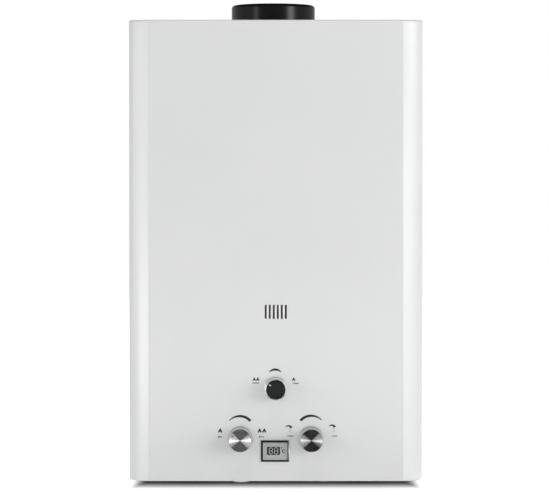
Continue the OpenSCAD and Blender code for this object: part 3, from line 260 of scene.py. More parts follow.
# Front cover: one pressed steel sheet with soft white stove enamel, screwed to the back plate's flanges.
# A crease sets off each rounded corner strip. The front has six flame slots, three knob holes and the
# display's opening, and the top is notched for the flue.
cover_low, cover_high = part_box("front_cover")
half_w = cover_high.x
front = cover_low.y
rear = cover_high.y
base = cover_low.z
top = cover_high.z
sheet = 0.001
corner_w = 0.0242
crease_lean = math.radians(11)
corner_ratio = 2.2
crease_turn = math.atan(corner_ratio * math.tan(crease_lean))
corner_a = corner_w / (1 - math.sin(crease_turn))
corner_b = corner_a / corner_ratio
corner_d = corner_b * math.cos(crease_turn)
edge_r = 0.0025
lip_w = 0.007
foot_r = 0.0012
crease_w = 0.00045
groove = 0.0005
fold_angle = 1.2
near = 1e-6


def verts_of(geom):
    """The vertices among an operator's results."""
    return [g for g in geom if isinstance(g, bmesh.types.BMVert)]


def nearest(verts, point):
    """The vertex closest to a point."""
    return min(verts, key=lambda vert: (vert.co - Vector(point)).length)


def draw_to(bm, vert, point):
    """Draws an edge from a vertex to a point and gives the new end."""
    end = bmesh.ops.extrude_vert_indiv(bm, verts=[vert])["verts"][0]
    end.co = point
    return end


def sweep_round(bm, vert, centre, axis, angle, steps):
    """Draws an arc from a vertex and gives the new end."""
    made = bmesh.ops.spin(bm, geom=[vert], cent=centre, axis=axis, dvec=(0, 0, 0), angle=angle, steps=steps)
    return verts_of(made["geom_last"])[0]


def new_piece(bm, name, mat, smooth=35):
    """Turns a bmesh into an object, smooth below an angle."""
    mesh = bpy.data.meshes.new(name)
    bm.to_mesh(mesh)
    bm.free()
    mesh.materials.append(mat)
    mesh.shade_smooth()
    mesh.set_sharp_from_angle(angle=math.radians(smooth))
    piece = bpy.data.objects.new(name, mesh)
    bpy.context.scene.collection.objects.link(piece)
    return piece


def flame_slot(bm, x, z, w, l):
    """The outline of an upright slot with round ends, on the front face."""
    rise = l / 2 - w / 2
    start = bm.verts.new((x + w / 2, front, z - rise))
    right = draw_to(bm, start, (x + w / 2, front, z + rise))
    left = sweep_round(bm, right, (x, front, z + rise), (0, -1, 0), math.pi, 8)
    low = draw_to(bm, left, (x - w / 2, front, z - rise))
    end = sweep_round(bm, low, (x, front, z - rise), (0, -1, 0), math.pi, 8)
    bmesh.ops.pointmerge(bm, verts=[start, end], merge_co=start.co)


def enamel(name, colour, shade, rough, shine, coat):
    """Stove enamel: an even satin skin with a very slight orange-peel ripple."""
    mat = new_finish(name, colour, rough[0])
    shader = shader_of(mat)
    shader.inputs["Specular IOR Level"].default_value = shine
    shader.inputs["Coat Weight"].default_value = coat
    shader.inputs["Coat Roughness"].default_value = 0.2
    point = object_point(mat)
    clouds = add_node(mat, "ShaderNodeTexNoise", Scale=9.0, Detail=3.0)
    join(mat, point, "Vector", clouds, "Vector")
    tone(mat, clouds, "Fac", shade, colour)
    sheen_range(mat, clouds, "Fac", *rough)
    peel = add_node(mat, "ShaderNodeTexNoise", Scale=420.0, Detail=2.0)
    join(mat, point, "Vector", peel, "Vector")
    relief(mat, peel, "Fac", 0.05, 0.0001)
    return mat


flue_low, flue_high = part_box("flue_collar")
flue_axis = ((flue_low + flue_high) / 2).xy
flue_r = 0.05
notch_gap = 0.003
notch_r = flue_r + notch_gap
crease_x = half_w - corner_w

# The foot's outline: the right half, from the rear edge round the corner strip to the crease, mirrored
bm = bmesh.new()
start = bm.verts.new((half_w, rear, base))
v = draw_to(bm, start, (half_w, front + corner_d, base))
strip_end = math.asin(1 - (corner_w - crease_w) / corner_a)
centre = Vector((half_w - corner_a, front + corner_d, base))
v = sweep_round(bm, v, centre, (0, 0, 1), strip_end - math.pi / 2, 20)
bmesh.ops.scale(bm, vec=(1, 1 / corner_ratio, 1), space=Matrix.Translation(-centre),
                verts=[vert for vert in bm.verts if vert.co.y < centre.y - near])
for point in ((crease_x, front, base), (crease_x - crease_w, front, base)):
    v = draw_to(bm, v, point)
bmesh.ops.mirror(bm, geom=bm.verts[:] + bm.edges[:], merge_dist=near, axis="X")
bm.edges.new((v, nearest(bm.verts, (crease_w - crease_x, front, base))))

# The walls, with a lip turned in along the foot and the top notched for the flue
wall_edges = bm.edges[:]
raised = bmesh.ops.extrude_edge_only(bm, edges=wall_edges)["geom"]
bmesh.ops.translate(bm, vec=(0, 0, top - base), verts=verts_of(raised))
bmesh.ops.recalc_face_normals(bm, faces=bm.faces)
bm.normal_update()
fold = -math.copysign(lip_w, start.normal.x)
inward = {tuple(vert.co): fold * vert.normal for vert in bm.verts}
lip = bmesh.ops.extrude_edge_only(bm, edges=wall_edges)["geom"]
for vert in verts_of(lip):
    vert.co += inward[tuple(vert.co)]
goal = nearest(bm.verts, (-half_w, rear, top))
v = nearest(bm.verts, (half_w, rear, top))
v = draw_to(bm, v, (flue_axis.x + notch_r, rear, top))
v = draw_to(bm, v, (flue_axis.x + notch_r, flue_axis.y, top))
v = sweep_round(bm, v, (*flue_axis, top), (0, 0, 1), -math.pi, 32)
v = draw_to(bm, v, (flue_axis.x - notch_r, rear, top))
bm.edges.new((v, goal))
bmesh.ops.edgenet_fill(bm, edges=[e for e in bm.edges if all(x.co.z > top - near for x in e.verts)])
bmesh.ops.recalc_face_normals(bm, faces=bm.faces)
rims = [e for e in bm.edges if len(e.link_faces) == 2 and e.calc_face_angle(0) > fold_angle]
head_rims = [e for e in rims if e.verts[0].co.z > top - near]
foot_rims = [e for e in rims if e.verts[0].co.z < base + near]
bmesh.ops.bevel(bm, geom=head_rims, offset=edge_r, segments=5, profile=0.5, affect="EDGES", material=-1)
bmesh.ops.bevel(bm, geom=foot_rims, offset=foot_r, segments=4, profile=0.5, affect="EDGES", material=-1)

# The creases: narrow grooves between the panel and the corner strips
bm.normal_update()
for vert in bm.verts:
    crease_line = crease_x - (vert.co.y - front) * math.tan(crease_lean / 2)
    if vert.co.y < front + 1.2 * edge_r and abs(abs(vert.co.x) - crease_line) < crease_w / 4:
        vert.co -= vert.normal * groove

# The panel, filled again round its slots, knob holes and display opening
panel = max((f for f in bm.faces if f.calc_center_median().y < front + sheet), key=lambda f: f.calc_area())
bmesh.ops.delete(bm, geom=[panel], context="FACES_ONLY")
outline = [e for e in bm.edges
           if len(e.link_faces) == 1 and all(abs(x.co.y - front) < near for x in e.verts)]
before = set(bm.edges)
slot_count = 6
slot_pitch = 0.0047
slot_w = 0.0024
slot_l = 0.0167
slot_z = base + 0.1985
for i in range(slot_count):
    flame_slot(bm, (i - (slot_count - 1) / 2) * slot_pitch, slot_z, slot_w, slot_l)
hole_r = 0.0095
season_z = base + 0.109
side_z = base + 0.05
side_x = 0.0415
face_on = Matrix.Rotation(math.pi / 2, 4, "X")
for x, z in ((0, season_z), (-side_x, side_z), (side_x, side_z)):
    bmesh.ops.create_circle(bm, radius=hole_r, segments=32,
                            matrix=Matrix.Translation((x, front, z)) @ face_on)
opening_w = 0.0306
opening_l = 0.0226
display_z = base + 0.0353
opening = [bm.verts.new((x * opening_w / 2, front, display_z + z * opening_l / 2))
           for x, z in ((-1, -1), (1, -1), (1, 1), (-1, 1))]
for a, b in zip(opening, opening[1:] + opening[:1]):
    bm.edges.new((a, b))
holes = [e for e in bm.edges if e not in before]
bmesh.ops.triangle_fill(bm, edges=outline + holes, use_beauty=True)
bmesh.ops.recalc_face_normals(bm, faces=bm.faces)
white_enamel = enamel("white_enamel", (0.86, 0.865, 0.865), (0.845, 0.85, 0.852), (0.27, 0.34),
                      shine=0.5, coat=0.6)
cover = new_piece(bm, "cover", white_enamel, 30)
for edge in cover.data.edges:
    ends = [cover.data.vertices[i].co for i in edge.vertices]
    upright = abs(ends[0].z - ends[1].z) > (top - base) / 2
    if upright and all(abs(abs(end.x) - crease_x) < 1.1 * crease_w for end in ends):
        edge.use_edge_sharp = True
wall = cover.modifiers.new("wall", "SOLIDIFY")
wall.thickness = sheet
wall.offset = -1
wall.use_even_offset = True
flats = cover.modifiers.new("flats", "WEIGHTED_NORMAL")
flats.keep_sharp = True
flats.weight = 100
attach(cover, "casing")
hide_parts("front_cover")

# Flue collar: drawn steel spigot with a rolled rim, black stove enamel, fixed to the hood by its flange.
# The flue pipe slips over it, so the outside is smooth and the rim turns inwards.


def turned(profile, place, steps=96):
    """A turned piece: corners of radius, height and rounding, joined in turn and spun about place's axis."""
    bm = bmesh.new()
    corners = [bm.verts.new((r, 0, h)) for r, h, soft in profile]
    for a, b in zip(corners, corners[1:]):
        bm.edges.new((a, b))
    for soft in sorted({corner[2] for corner in profile} - {0}):
        rounded = [vert for vert, corner in zip(corners, profile) if corner[2] == soft]
        bmesh.ops.bevel(bm, geom=rounded, offset=soft, segments=5, profile=0.5,
                        affect="VERTICES", material=-1)
    bmesh.ops.spin(bm, geom=bm.verts[:] + bm.edges[:], cent=(0, 0, 0), axis=(0, 0, 1), dvec=(0, 0, 0),
                   angle=2 * math.pi, steps=steps, use_merge=True)
    bmesh.ops.remove_doubles(bm, verts=bm.verts, dist=1e-7)
    bmesh.ops.recalc_face_normals(bm, faces=bm.faces)
    bmesh.ops.transform(bm, matrix=place, verts=bm.verts)
    return bm


hood_top = flue_low.z
rim_drop = 0.001
flue_top = flue_high.z - rim_drop
flue_t = 0.0012
flue_bore = flue_r - flue_t
rim_r = 0.004
rim_in = 0.0046
lip_r = flue_r - rim_in
lip_soft = 0.0003
flange_w = 0.005
flange_r = flue_r + flange_w
flange_soft = 0.0008
spigot = [(flue_bore, hood_top, 0), (flange_r, hood_top, 0), (flange_r, hood_top + flue_t, lip_soft),
          (flue_r, hood_top + flue_t, flange_soft), (flue_r, flue_top, rim_r), (lip_r, flue_top, lip_soft),
          (lip_r, flue_top - flue_t, lip_soft), (flue_bore, flue_top - flue_t, rim_r - flue_t),
          (flue_bore, hood_top, 0)]
black_enamel = enamel("black_enamel", (0.005, 0.005, 0.0055), (0.0035, 0.0035, 0.004), (0.2, 0.27),
                      shine=0.4, coat=0.0)
collar = new_piece(turned(spigot, Matrix.Translation((*flue_axis, 0)), 160), "collar", black_enamel)
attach(collar, "casing")
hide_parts("flue_collar")

# Gas and water knobs: zinc alloy caps, turned, polished and chrome plated, pushed on flatted spindles.
# Each has a low skirt and a spun face whose fine rings fan the light out to both sides.


def turned_face(r, h, pitch, depth):
    """Rings left by the turning tool on a flat face, as corners from the middle out, six to a ring."""
    corners = []
    for i in range(int(r / pitch * 6)):
        corners.append((i * pitch / 6, h - depth * (1 - math.cos(i * math.pi / 3)) / 2, 0))
    return corners + [(r, h, 0)]


def plated(name, dark, light, rough):
    """Chrome plate: bright, with faint handling marks that change the polish."""
    mat = new_finish(name, light, rough[0], 1.0)
    marks = add_node(mat, "ShaderNodeTexNoise", Scale=260.0, Detail=5.0, Roughness=0.7)
    join(mat, object_point(mat), "Vector", marks, "Vector")
    tone(mat, marks, "Fac", dark, light)
    sheen_range(mat, marks, "Fac", *rough)
    return mat


chrome = plated("chrome", (0.72, 0.73, 0.74), (0.86, 0.865, 0.87), (0.1, 0.2))
satin_side = plated("satin_side", (0.46, 0.465, 0.47), (0.54, 0.545, 0.55), (0.2, 0.3))
# Painted reflection: the two spun faces are one chrome at two brightnesses, the gas face lighter and the
# water face darker, for the different light each mirrors.
face_painted_lighter = plated("face_painted_lighter", (0.9, 0.905, 0.905), (0.95, 0.955, 0.955), (0.09, 0.14))
shader_of(face_painted_lighter).inputs["Metallic"].default_value = 0.85
face_painted_darker = plated("face_painted_darker", (0.5, 0.51, 0.505), (0.6, 0.61, 0.605), (0.08, 0.14))
pointer_paint = moulded("pointer_paint", (0.03, 0.03, 0.03), (0.05, 0.05, 0.05), (0.4, 0.5), 800, 0.00005)
knob_r = 0.0133
knob_up = 0.024
knob_flare = 0.0006
skirt_r = 0.01425
skirt_t = 0.0024
panel_gap = 0.0006
cap_wall = 0.0016
cap_roof = 0.0028
bore_roof = 0.004
boss_r = 0.0058
bore_r = 0.0035
rim_w = 0.0005
pocket = 0.0012
face_gap = 0.00005
face_foot = 0.0011
face_sunk = 0.0004
ring_pitch = 0.00045
ring_depth = 0.00005
dot_r = 0.0009
dot_up = 0.00012
dot_root = 0.0003
dot_out = 0.0102


def side_knob(name, node, body, x, pointer, face_mat):
    """A chrome knob with its spun face and its pointer dot."""
    place = Matrix.Translation((x, front - panel_gap, side_z)) @ face_on
    pocket_r = knob_r - rim_w
    inside_r = knob_r - cap_wall
    shell = [(0, knob_up - pocket, 0), (pocket_r, knob_up - pocket, 0), (pocket_r, knob_up, 0.0002),
             (knob_r, knob_up, 0.0004), (knob_r + knob_flare, skirt_t, 0.0004), (skirt_r, skirt_t, 0.0008),
             (skirt_r, 0, 0.0002), (inside_r, 0, 0.0002), (inside_r, knob_up - cap_roof, 0),
             (boss_r, knob_up - cap_roof, 0), (boss_r, 0, 0.0003), (bore_r, 0, 0.0003),
             (bore_r, knob_up - bore_roof, 0), (0, knob_up - bore_roof, 0)]
    cap = new_piece(turned(shell, place), name, satin_side)
    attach(cap, body)
    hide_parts(node)
    face_r = pocket_r - face_gap
    disc = turned_face(face_r, knob_up - face_sunk, ring_pitch, ring_depth)
    disc += [(face_r, knob_up - face_foot, 0), (0, knob_up - face_foot, 0)]
    face = new_piece(turned(disc, place), name + "_face", face_mat, 5)
    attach(face, body)
    aim = Matrix.Rotation(math.radians(pointer), 4, "Z")
    spot = place @ aim @ Matrix.Translation((0, dot_out, knob_up - face_sunk))
    button = [(0, dot_up, 0), (dot_r, dot_up, 0.0001), (dot_r, -dot_root, 0), (0, -dot_root, 0)]
    dot = new_piece(turned(button, spot, 32), name + "_dot", pointer_paint)
    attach(dot, body)


side_knob("gas_cap", "gas_knob", "gas_control", -side_x, 61, face_painted_lighter)
side_knob("water_cap", "water_knob", "water_control", side_x, -20, face_painted_darker)

# Season knob: black moulded cap pressed into a turned chrome sleeve, with a small pale pointer.
# It is pushed on the season valve's spindle, and sets how much of the burner burns.
season_r = 0.011
season_up = 0.022
season_flare = 0.0004
season_inside = season_r - cap_wall
season_boss_r = 0.005
season_bore_r = 0.003
dish = 0.0002
dish_edge = 0.003
shoulder = 0.0006
season_place = Matrix.Translation((0, front - panel_gap, season_z)) @ face_on
season_shell = [(0, season_up - dish, 0), (season_r - dish_edge, season_up - dish, 0.0015),
                (season_r - shoulder, season_up, 0.0004), (season_r, season_up - shoulder, 0.0004),
                (season_r + season_flare, 0, 0), (season_inside, 0, 0),
                (season_inside, season_up - cap_roof, 0), (season_boss_r, season_up - cap_roof, 0),
                (season_boss_r, 0, 0), (season_bore_r, 0, 0), (season_bore_r, season_up - bore_roof, 0),
                (0, season_up - bore_roof, 0)]
black_plastic = moulded("black_plastic", (0.0075, 0.008, 0.009), (0.0125, 0.013, 0.0145), (0.2, 0.3),
                        700, 0.00005)
shader_of(black_plastic).inputs["Specular IOR Level"].default_value = 0.2
season_cap = new_piece(turned(season_shell, season_place), "season_cap", black_plastic)
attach(season_cap, "season_control")
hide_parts("season_knob")
ring_in = season_r + 0.00045
ring_out = season_r + 0.0022
ring_wall = 0.0014
ring_lip = 0.0002
ring_slope = 0.0018
ring_foot_w = 0.0006
ring_foot_up = 0.0003
sleeve_up = season_up - 0.0008
ring_shape = [(ring_in, 0, 0), (ring_out, 0, 0.0002), (ring_out, skirt_t, 0.0006),
              (ring_out - ring_foot_w, skirt_t + ring_foot_up, 0.0004),
              (ring_in + ring_wall, sleeve_up - ring_slope, 0.0004), (ring_in + ring_lip, sleeve_up, 0.0001),
              (ring_in, sleeve_up, 0), (ring_in, 0, 0)]
chrome_ring = new_piece(turned(ring_shape, season_place), "chrome_ring", chrome)
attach(chrome_ring, "season_control")
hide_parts("season_ring")


def flat_bar(bm, place, x, y, w, l, cut=0.0):
    """A flat bar in a placed plane, its corners cut by a share of its width."""
    made = bmesh.ops.create_grid(bm, x_segments=1, y_segments=1, size=0.5,
                                 matrix=place @ Matrix.Translation((x, y, 0)) @ Matrix.Diagonal((w, l, 1, 1)))
    if cut:
        bmesh.ops.bevel(bm, geom=made["verts"], offset=cut * min(w, l), segments=1, profile=0.5,
                        affect="VERTICES", material=-1)


def thicken(bm, up):
    """Gives flat shapes on the front a thickness, outwards, or inwards where it is less than zero."""
    raised = bmesh.ops.extrude_face_region(bm, geom=bm.faces[:])["geom"]
    bmesh.ops.translate(bm, vec=(0, -up, 0), verts=verts_of(raised))
    bmesh.ops.recalc_face_normals(bm, faces=bm.faces)


season_pointer = Matrix.Rotation(math.radians(52), 4, "Z")
mark_out = 0.0086
mark_w = 0.0017
mark_l = 0.0026
mark_up = 0.00028
bm = bmesh.new()
flat_bar(bm, season_place @ season_pointer @ Matrix.Translation((0, 0, season_up - dish)),
         0, mark_out, mark_w, mark_l, 0.35)
thicken(bm, mark_up)
pale_paint = moulded("pale_paint", (0.55, 0.55, 0.54), (0.66, 0.66, 0.65), (0.4, 0.5), 800, 0.00003)
season_mark = new_piece(bm, "season_mark", pale_paint)
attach(season_mark, "season_control")

# Display: black moulded frame with mitred bevels, clipped into the cover's opening. Chrome chamfers only
# along its foot and its right side are a painted highlight on the edges that catch the light. A clear lens
# lies in it, and the grey liquid-crystal panel behind shows two digits on a dark field.
bezel_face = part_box("display_bezel")[0].y
bezel_w = 0.0334
bezel_l = 0.0259
bezel_x = 0.00025
bezel_z = -0.0004
frame_w = 0.0017
foot_more = 0.0005
head_more = 0.0003
bevel_w = 0.0006
sleeve_l = 0.006
foot_highlight_w = 0.0007
right_highlight_w = 0.0016
display_x = -0.0008
display_at = Matrix.Translation((display_x, front, display_z)) @ face_on
bm = bmesh.new()
flat_bar(bm, display_at, bezel_x, bezel_z, bezel_w, bezel_l)
thicken(bm, front - bezel_face)
frame_face = min(bm.faces, key=lambda f: f.calc_center_median().y)
frame_back = max(bm.faces, key=lambda f: f.calc_center_median().y)
bmesh.ops.inset_region(bm, faces=[frame_face], thickness=frame_w, use_even_offset=True)
for vert in frame_face.verts:
    vert.co.z += foot_more if vert.co.z < display_z else -head_more
bmesh.ops.inset_region(bm, faces=[frame_face], thickness=bevel_w, depth=bezel_face - front,
                       use_even_offset=True)
sight = frame_face.edges[:]
bmesh.ops.delete(bm, geom=[frame_face, frame_back], context="FACES_ONLY")
sleeve = bmesh.ops.extrude_edge_only(bm, edges=sight)["geom"]
bmesh.ops.translate(bm, vec=(0, sleeve_l, 0), verts=verts_of(sleeve))
bmesh.ops.recalc_face_normals(bm, faces=bm.faces)
right_end = max(v.co.x for v in bm.verts)
foot_end = min(v.co.z for v in bm.verts)


def highlight_chamfer(bm, is_end, width):
    """Chamfers one end of the frame's face in chrome, a painted highlight where that edge catches the light.
    """
    lip = [e for e in bm.edges if all(abs(v.co.y - bezel_face) < near and is_end(v.co) for v in e.verts)]
    bmesh.ops.bevel(bm, geom=lip, offset=width, segments=1, profile=0.5, affect="EDGES", material=1)


# Painted highlight: chrome only on the frame's foot and right side.
highlight_chamfer(bm, lambda co: co.z < foot_end + 10 * near, foot_highlight_w)
highlight_chamfer(bm, lambda co: co.x > right_end - 10 * near, right_highlight_w)
frame_black = moulded("frame_black", (0.01, 0.01, 0.011), (0.015, 0.015, 0.016), (0.4, 0.5), 600, 0.00003)
shader_of(frame_black).inputs["Specular IOR Level"].default_value = 0.2
bezel = new_piece(bm, "bezel", frame_black, 20)
bezel.data.materials.append(chrome)
soft_edge = bezel.modifiers.new("soft_edge", "BEVEL")
soft_edge.width = 0.00012
soft_edge.segments = 2
soft_edge.limit_method = "ANGLE"
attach(bezel, "casing")
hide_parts("display_bezel")

panel_w = 0.0298
panel_l = 0.0222
panel_t = 0.0038
panel_y = front + 0.00112
panel_at = Matrix.Translation((display_x, panel_y, display_z)) @ face_on
bm = bmesh.new()
bmesh.ops.create_grid(bm, x_segments=2, y_segments=2, size=0.5,
                      matrix=panel_at @ Matrix.Diagonal((panel_w, panel_l, 1, 1)))
thicken(bm, -panel_t)
crystal = moulded("crystal_panel", (0.8, 0.815, 0.8), (0.85, 0.865, 0.85), (0.3, 0.4), 300, 0.00002)
crystal_panel = new_piece(bm, "crystal_panel", crystal)
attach(crystal_panel, "casing")
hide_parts("display_module")

film = 0.00001
field_x = -0.0019
field_w = 0.0153
field_l = 0.0097
bm = bmesh.new()
flat_bar(bm, panel_at @ Matrix.Translation((0, 0, 2 * film)), field_x, 0, field_w, field_l, 0.06)
thicken(bm, 2 * film)
dark_field = moulded("dark_field", (0.02, 0.022, 0.022), (0.03, 0.032, 0.032), (0.3, 0.4), 300, 0.00001)
digit_field = new_piece(bm, "digit_field", dark_field)
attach(digit_field, "casing")

digit_w = 0.0038
digit_l = 0.0072
digit_out = 0.0031
bar_w = 0.0009
bar_gap = 0.0003
bm = bmesh.new()
on_field = panel_at @ Matrix.Translation((0, 0, 5 * film))
for x in (field_x - digit_out, field_x + digit_out):
    for row in (-1, 0, 1):
        flat_bar(bm, on_field, x, row * digit_l / 2, digit_w - bar_gap, bar_w, 0.5)
    for side in (-1, 1):
        for half in (-1, 1):
            flat_bar(bm, on_field, x + side * digit_w / 2, half * digit_l / 4,
                     bar_w, digit_l / 2 - bar_gap, 0.5)
thicken(bm, film)
digit_light = moulded("digit_light", (0.7, 0.72, 0.7), (0.78, 0.8, 0.78), (0.3, 0.4), 300, 0.00001)
digits = new_piece(bm, "digits", digit_light)
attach(digits, "casing")

unit_z = -0.0004
degree_r = 0.0008
bm = bmesh.new()
on_panel = panel_at @ Matrix.Translation((0, 0, 3 * film))
for end in (-1, 1):
    flat_bar(bm, on_panel, 0.0101, end * 0.0018 + unit_z, 0.0024, 0.001, 0.4)
    flat_bar(bm, on_panel, 0.0113, end * 0.0013 + unit_z, 0.0009, 0.0008, 0.3)
flat_bar(bm, on_panel, 0.0086, unit_z, 0.001, 0.0034, 0.4)
bmesh.ops.create_circle(bm, cap_ends=True, segments=16, radius=degree_r,
                        matrix=on_panel @ Matrix.Translation((0.0076, 0.0036, 0)))
thicken(bm, 2 * film)
unit_mark = new_piece(bm, "unit_mark", dark_field)
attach(unit_mark, "casing")


def lens_sheet():
    """Clear acrylic: mostly see-through, with a polished face that still catches the light."""
    mat = moulded("lens_sheet", (0.02, 0.021, 0.02), (0.03, 0.031, 0.03), (0.06, 0.12), 200, 0.00001)
    shader_of(mat).inputs["Alpha"].default_value = 0.08
    return mat


clothe(lens_sheet(), "display_lens")

# Printed marks on the cover: screen printing in near-black ink beside each knob, with paler drops.
# A tapering arc shows each knob's way, small flames stand for the fire and small taps for the water.
print_up = 0.00004


def printed_arc(bm, x, z, r, start, sweep, thin, thick, belly=0.0):
    """An arc round a knob that grows from one thickness to another, angles in degrees from the right."""
    band = 0.002
    known = set(bm.verts)
    centre = Vector((x, front, z))
    first = Vector((math.cos(math.radians(start)), 0, math.sin(math.radians(start))))
    outer = bm.verts.new(centre + first * r)
    inner = bm.verts.new(centre + first * (r - band))
    bmesh.ops.spin(bm, geom=[outer, inner, bm.edges.new((outer, inner))], cent=centre, axis=(0, -1, 0),
                   dvec=(0, 0, 0), angle=math.radians(sweep), steps=24)
    for vert in set(bm.verts) - known:
        arm = vert.co - centre
        if arm.length < r - band / 2:
            share = (math.degrees(math.atan2(arm.z, arm.x)) - start) / sweep
            line_w = thin + (thick - thin) * share + belly * math.sin(math.pi * share)
            vert.co = centre + arm.normalized() * (r - line_w)


def printed_flame(bm, x, z, r):
    """A small flame drawn as a broad outline: an arch drawn up to a tip, open below."""
    loops = []
    for size, sink in ((r, 0), (0.42 * r, 0.5 * r)):
        ring = bmesh.ops.create_circle(bm, segments=20, radius=size,
                                       matrix=Matrix.Translation((x, front, z - sink)) @ face_on)["verts"]
        foot = [vert for vert in ring if vert.co.z < z - sink - 0.7 * size]
        loops += [vert for vert in ring if vert not in foot]
        bmesh.ops.delete(bm, geom=foot, context="VERTS")
    bmesh.ops.bridge_loops(bm, edges=list({e for vert in loops for e in vert.link_edges}))
    for vert in loops:
        up = max(0.0, vert.co.z - z) / r
        vert.co.x = x + (vert.co.x - x) * (1 - 0.55 * up)
        vert.co.z += 0.7 * up * up * r


side_arc_z = base + 0.0608
season_flame_z = base + 0.1186
season_flame_r = 0.0018
side_flame_z = base + 0.0582
side_flame_r = 0.0023
tap_r = 0.005
bm = bmesh.new()
printed_arc(bm, -0.0007, base + 0.124, 0.0082, 27, 126, 0.0007, 0.0007, 0.002)
printed_arc(bm, -0.0416, side_arc_z, 0.0168, 39, 102, 0.003, 0.0009, 0.0008)
printed_arc(bm, 0.0409, side_arc_z, 0.0172, 40, 100, 0.0009, 0.003, 0.0007)
for x in (-0.0252, -0.0211, 0.021):
    printed_flame(bm, x, season_flame_z, season_flame_r)
for x in (-0.0651, -0.0189, -0.0135):
    printed_flame(bm, x, side_flame_z, side_flame_r)
for x, z in ((0.0151, base + 0.0607), (0.0661, base + 0.0615)):
    printed_arc(bm, x, z, tap_r, 28, 112, 0.003, 0.0009)
thicken(bm, print_up)
ink = moulded("ink", (0.01, 0.01, 0.0105), (0.018, 0.018, 0.0185), (0.4, 0.5), 900, 0.00001)
marks = new_piece(bm, "marks", ink)
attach(marks, "casing")

drop_w = 0.0014
drop_l = 0.0013
drop_pitch = 0.0019
drop_z = base + 0.0616
bm = bmesh.new()
for x in (0.0167, 0.0679):
    for drop in range(3):
        drop_at = Matrix.Translation((x, front, drop_z - drop_pitch * drop)) @ face_on
        flat_bar(bm, drop_at, 0, 0, drop_w, drop_l, 0.2)
thicken(bm, print_up)
grey_ink = moulded("grey_ink", (0.48, 0.48, 0.48), (0.54, 0.54, 0.54), (0.4, 0.5), 900, 0.00001)
streams = new_piece(bm, "streams", grey_ink)
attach(streams, "casing")


def printed_word(word, x, z, size):
    """A word in a plain type, made a mesh and laid on the cover."""
    name = "word_" + word.lower()
    curve = bpy.data.curves.new(name, "FONT")
    curve.body = word
    curve.size = size
    curve.align_x = "CENTER"
    curve.align_y = "CENTER"
    curve.offset = 0.00006
    curve.extrude = print_up / 2
    letters = bpy.data.objects.new("letters", curve)
    bpy.context.scene.collection.objects.link(letters)
    bm = bmesh.new()
    bm.from_mesh(letters.evaluated_get(bpy.context.evaluated_depsgraph_get()).to_mesh())
    bpy.data.objects.remove(letters)
    bmesh.ops.transform(bm, matrix=Matrix.Translation((x, front - print_up / 2, z)) @ face_on, verts=bm.verts)
    piece = new_piece(bm, name, ink)
    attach(piece, "casing")


printed_word("WINTER", -0.0234, base + 0.1148, 0.0021)
printed_word("SUMMER", 0.0234, base + 0.1145, 0.0019)
printed_word("MIN", -0.0653, base + 0.0518, 0.0027)
printed_word("MAX", -0.0169, base + 0.0519, 0.0029)
printed_word("HIGH", 0.0172, base + 0.0529, 0.0029)
printed_word("LOW", 0.0687, base + 0.0528, 0.0027)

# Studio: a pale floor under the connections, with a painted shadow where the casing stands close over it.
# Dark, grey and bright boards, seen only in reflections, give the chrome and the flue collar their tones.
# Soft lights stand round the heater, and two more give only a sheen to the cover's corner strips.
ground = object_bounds()[0].z
shade_right = (0.158, 0.182)
shade_left = (-0.158, -0.182)
shade_front = (-0.026, -0.115)
shade_rear = (-0.022, 0.012)
floor_mat = new_finish("floor_with_painted_shadow", (0.82, 0.82, 0.82), 0.9)
grain = add_node(floor_mat, "ShaderNodeTexNoise", Scale=3.0, Detail=2.0)
floor_point = object_point(floor_mat)
join(floor_mat, floor_point, "Vector", grain, "Vector")
axis_parts = add_node(floor_mat, "ShaderNodeSeparateXYZ")
join(floor_mat, floor_point, "Vector", axis_parts, "Vector")


def larger(mat, first, first_output, second, second_output):
    """The larger of two values."""
    pick = add_node(mat, "ShaderNodeMath", operation="MAXIMUM")
    join(mat, first, first_output, pick, 0)
    join(mat, second, second_output, pick, 1)
    return pick


def painted_shadow_span(axis, *ends):
    """The casing's painted shadow along one axis of the floor, with a soft step to the open floor at both
    ends.
    """
    steps = []
    for dark, pale in ends:
        step = add_node(floor_mat, "ShaderNodeMapRange", interpolation_type="SMOOTHSTEP",
                        From_Min=dark, From_Max=pale)
        join(floor_mat, axis_parts, axis, step, "Value")
        steps.append(step)
    return larger(floor_mat, steps[0], "Result", steps[1], "Result")


def in_view(mat):
    """One for what the camera sees, straight or in a mirror, and zero for the light that is shed."""
    rays = add_node(mat, "ShaderNodeLightPath")
    in_mirror = larger(mat, rays, "Is Glossy Ray", rays, "Is Transmission Ray")
    return larger(mat, rays, "Is Camera Ray", in_mirror, "Value")


across = painted_shadow_span("X", shade_right, shade_left)
along = painted_shadow_span("Y", shade_front, shade_rear)
outside_painted_shadow = larger(floor_mat, across, "Value", along, "Value")
# Painted shadow: under the casing the floor's colour goes dark and its glow goes out, with soft edges.
paint = add_node(floor_mat, "ShaderNodeMath", operation="MULTIPLY_ADD")
paint.inputs[1].default_value = 0.04
join(floor_mat, grain, "Fac", paint, 0)
join(floor_mat, outside_painted_shadow, "Value", paint, 2)
tone(floor_mat, paint, "Value", (0.03, 0.03, 0.03), (0.84, 0.84, 0.84), 0.35, 1.04)
glow = add_node(floor_mat, "ShaderNodeMath", operation="MULTIPLY")
join(floor_mat, outside_painted_shadow, "Value", glow, 0)
join(floor_mat, in_view(floor_mat), "Value", glow, 1)
shader_of(floor_mat).inputs["Emission Color"].default_value = (1, 1, 1, 1)
join(floor_mat, glow, "Value", shader_of(floor_mat), "Emission Strength")
floor_r = 4.0
bm = bmesh.new()
bmesh.ops.create_circle(bm, cap_ends=True, segments=64, radius=floor_r,
                        matrix=Matrix.Translation((0, 0, ground)))
floor = new_piece(bm, "floor", floor_mat)


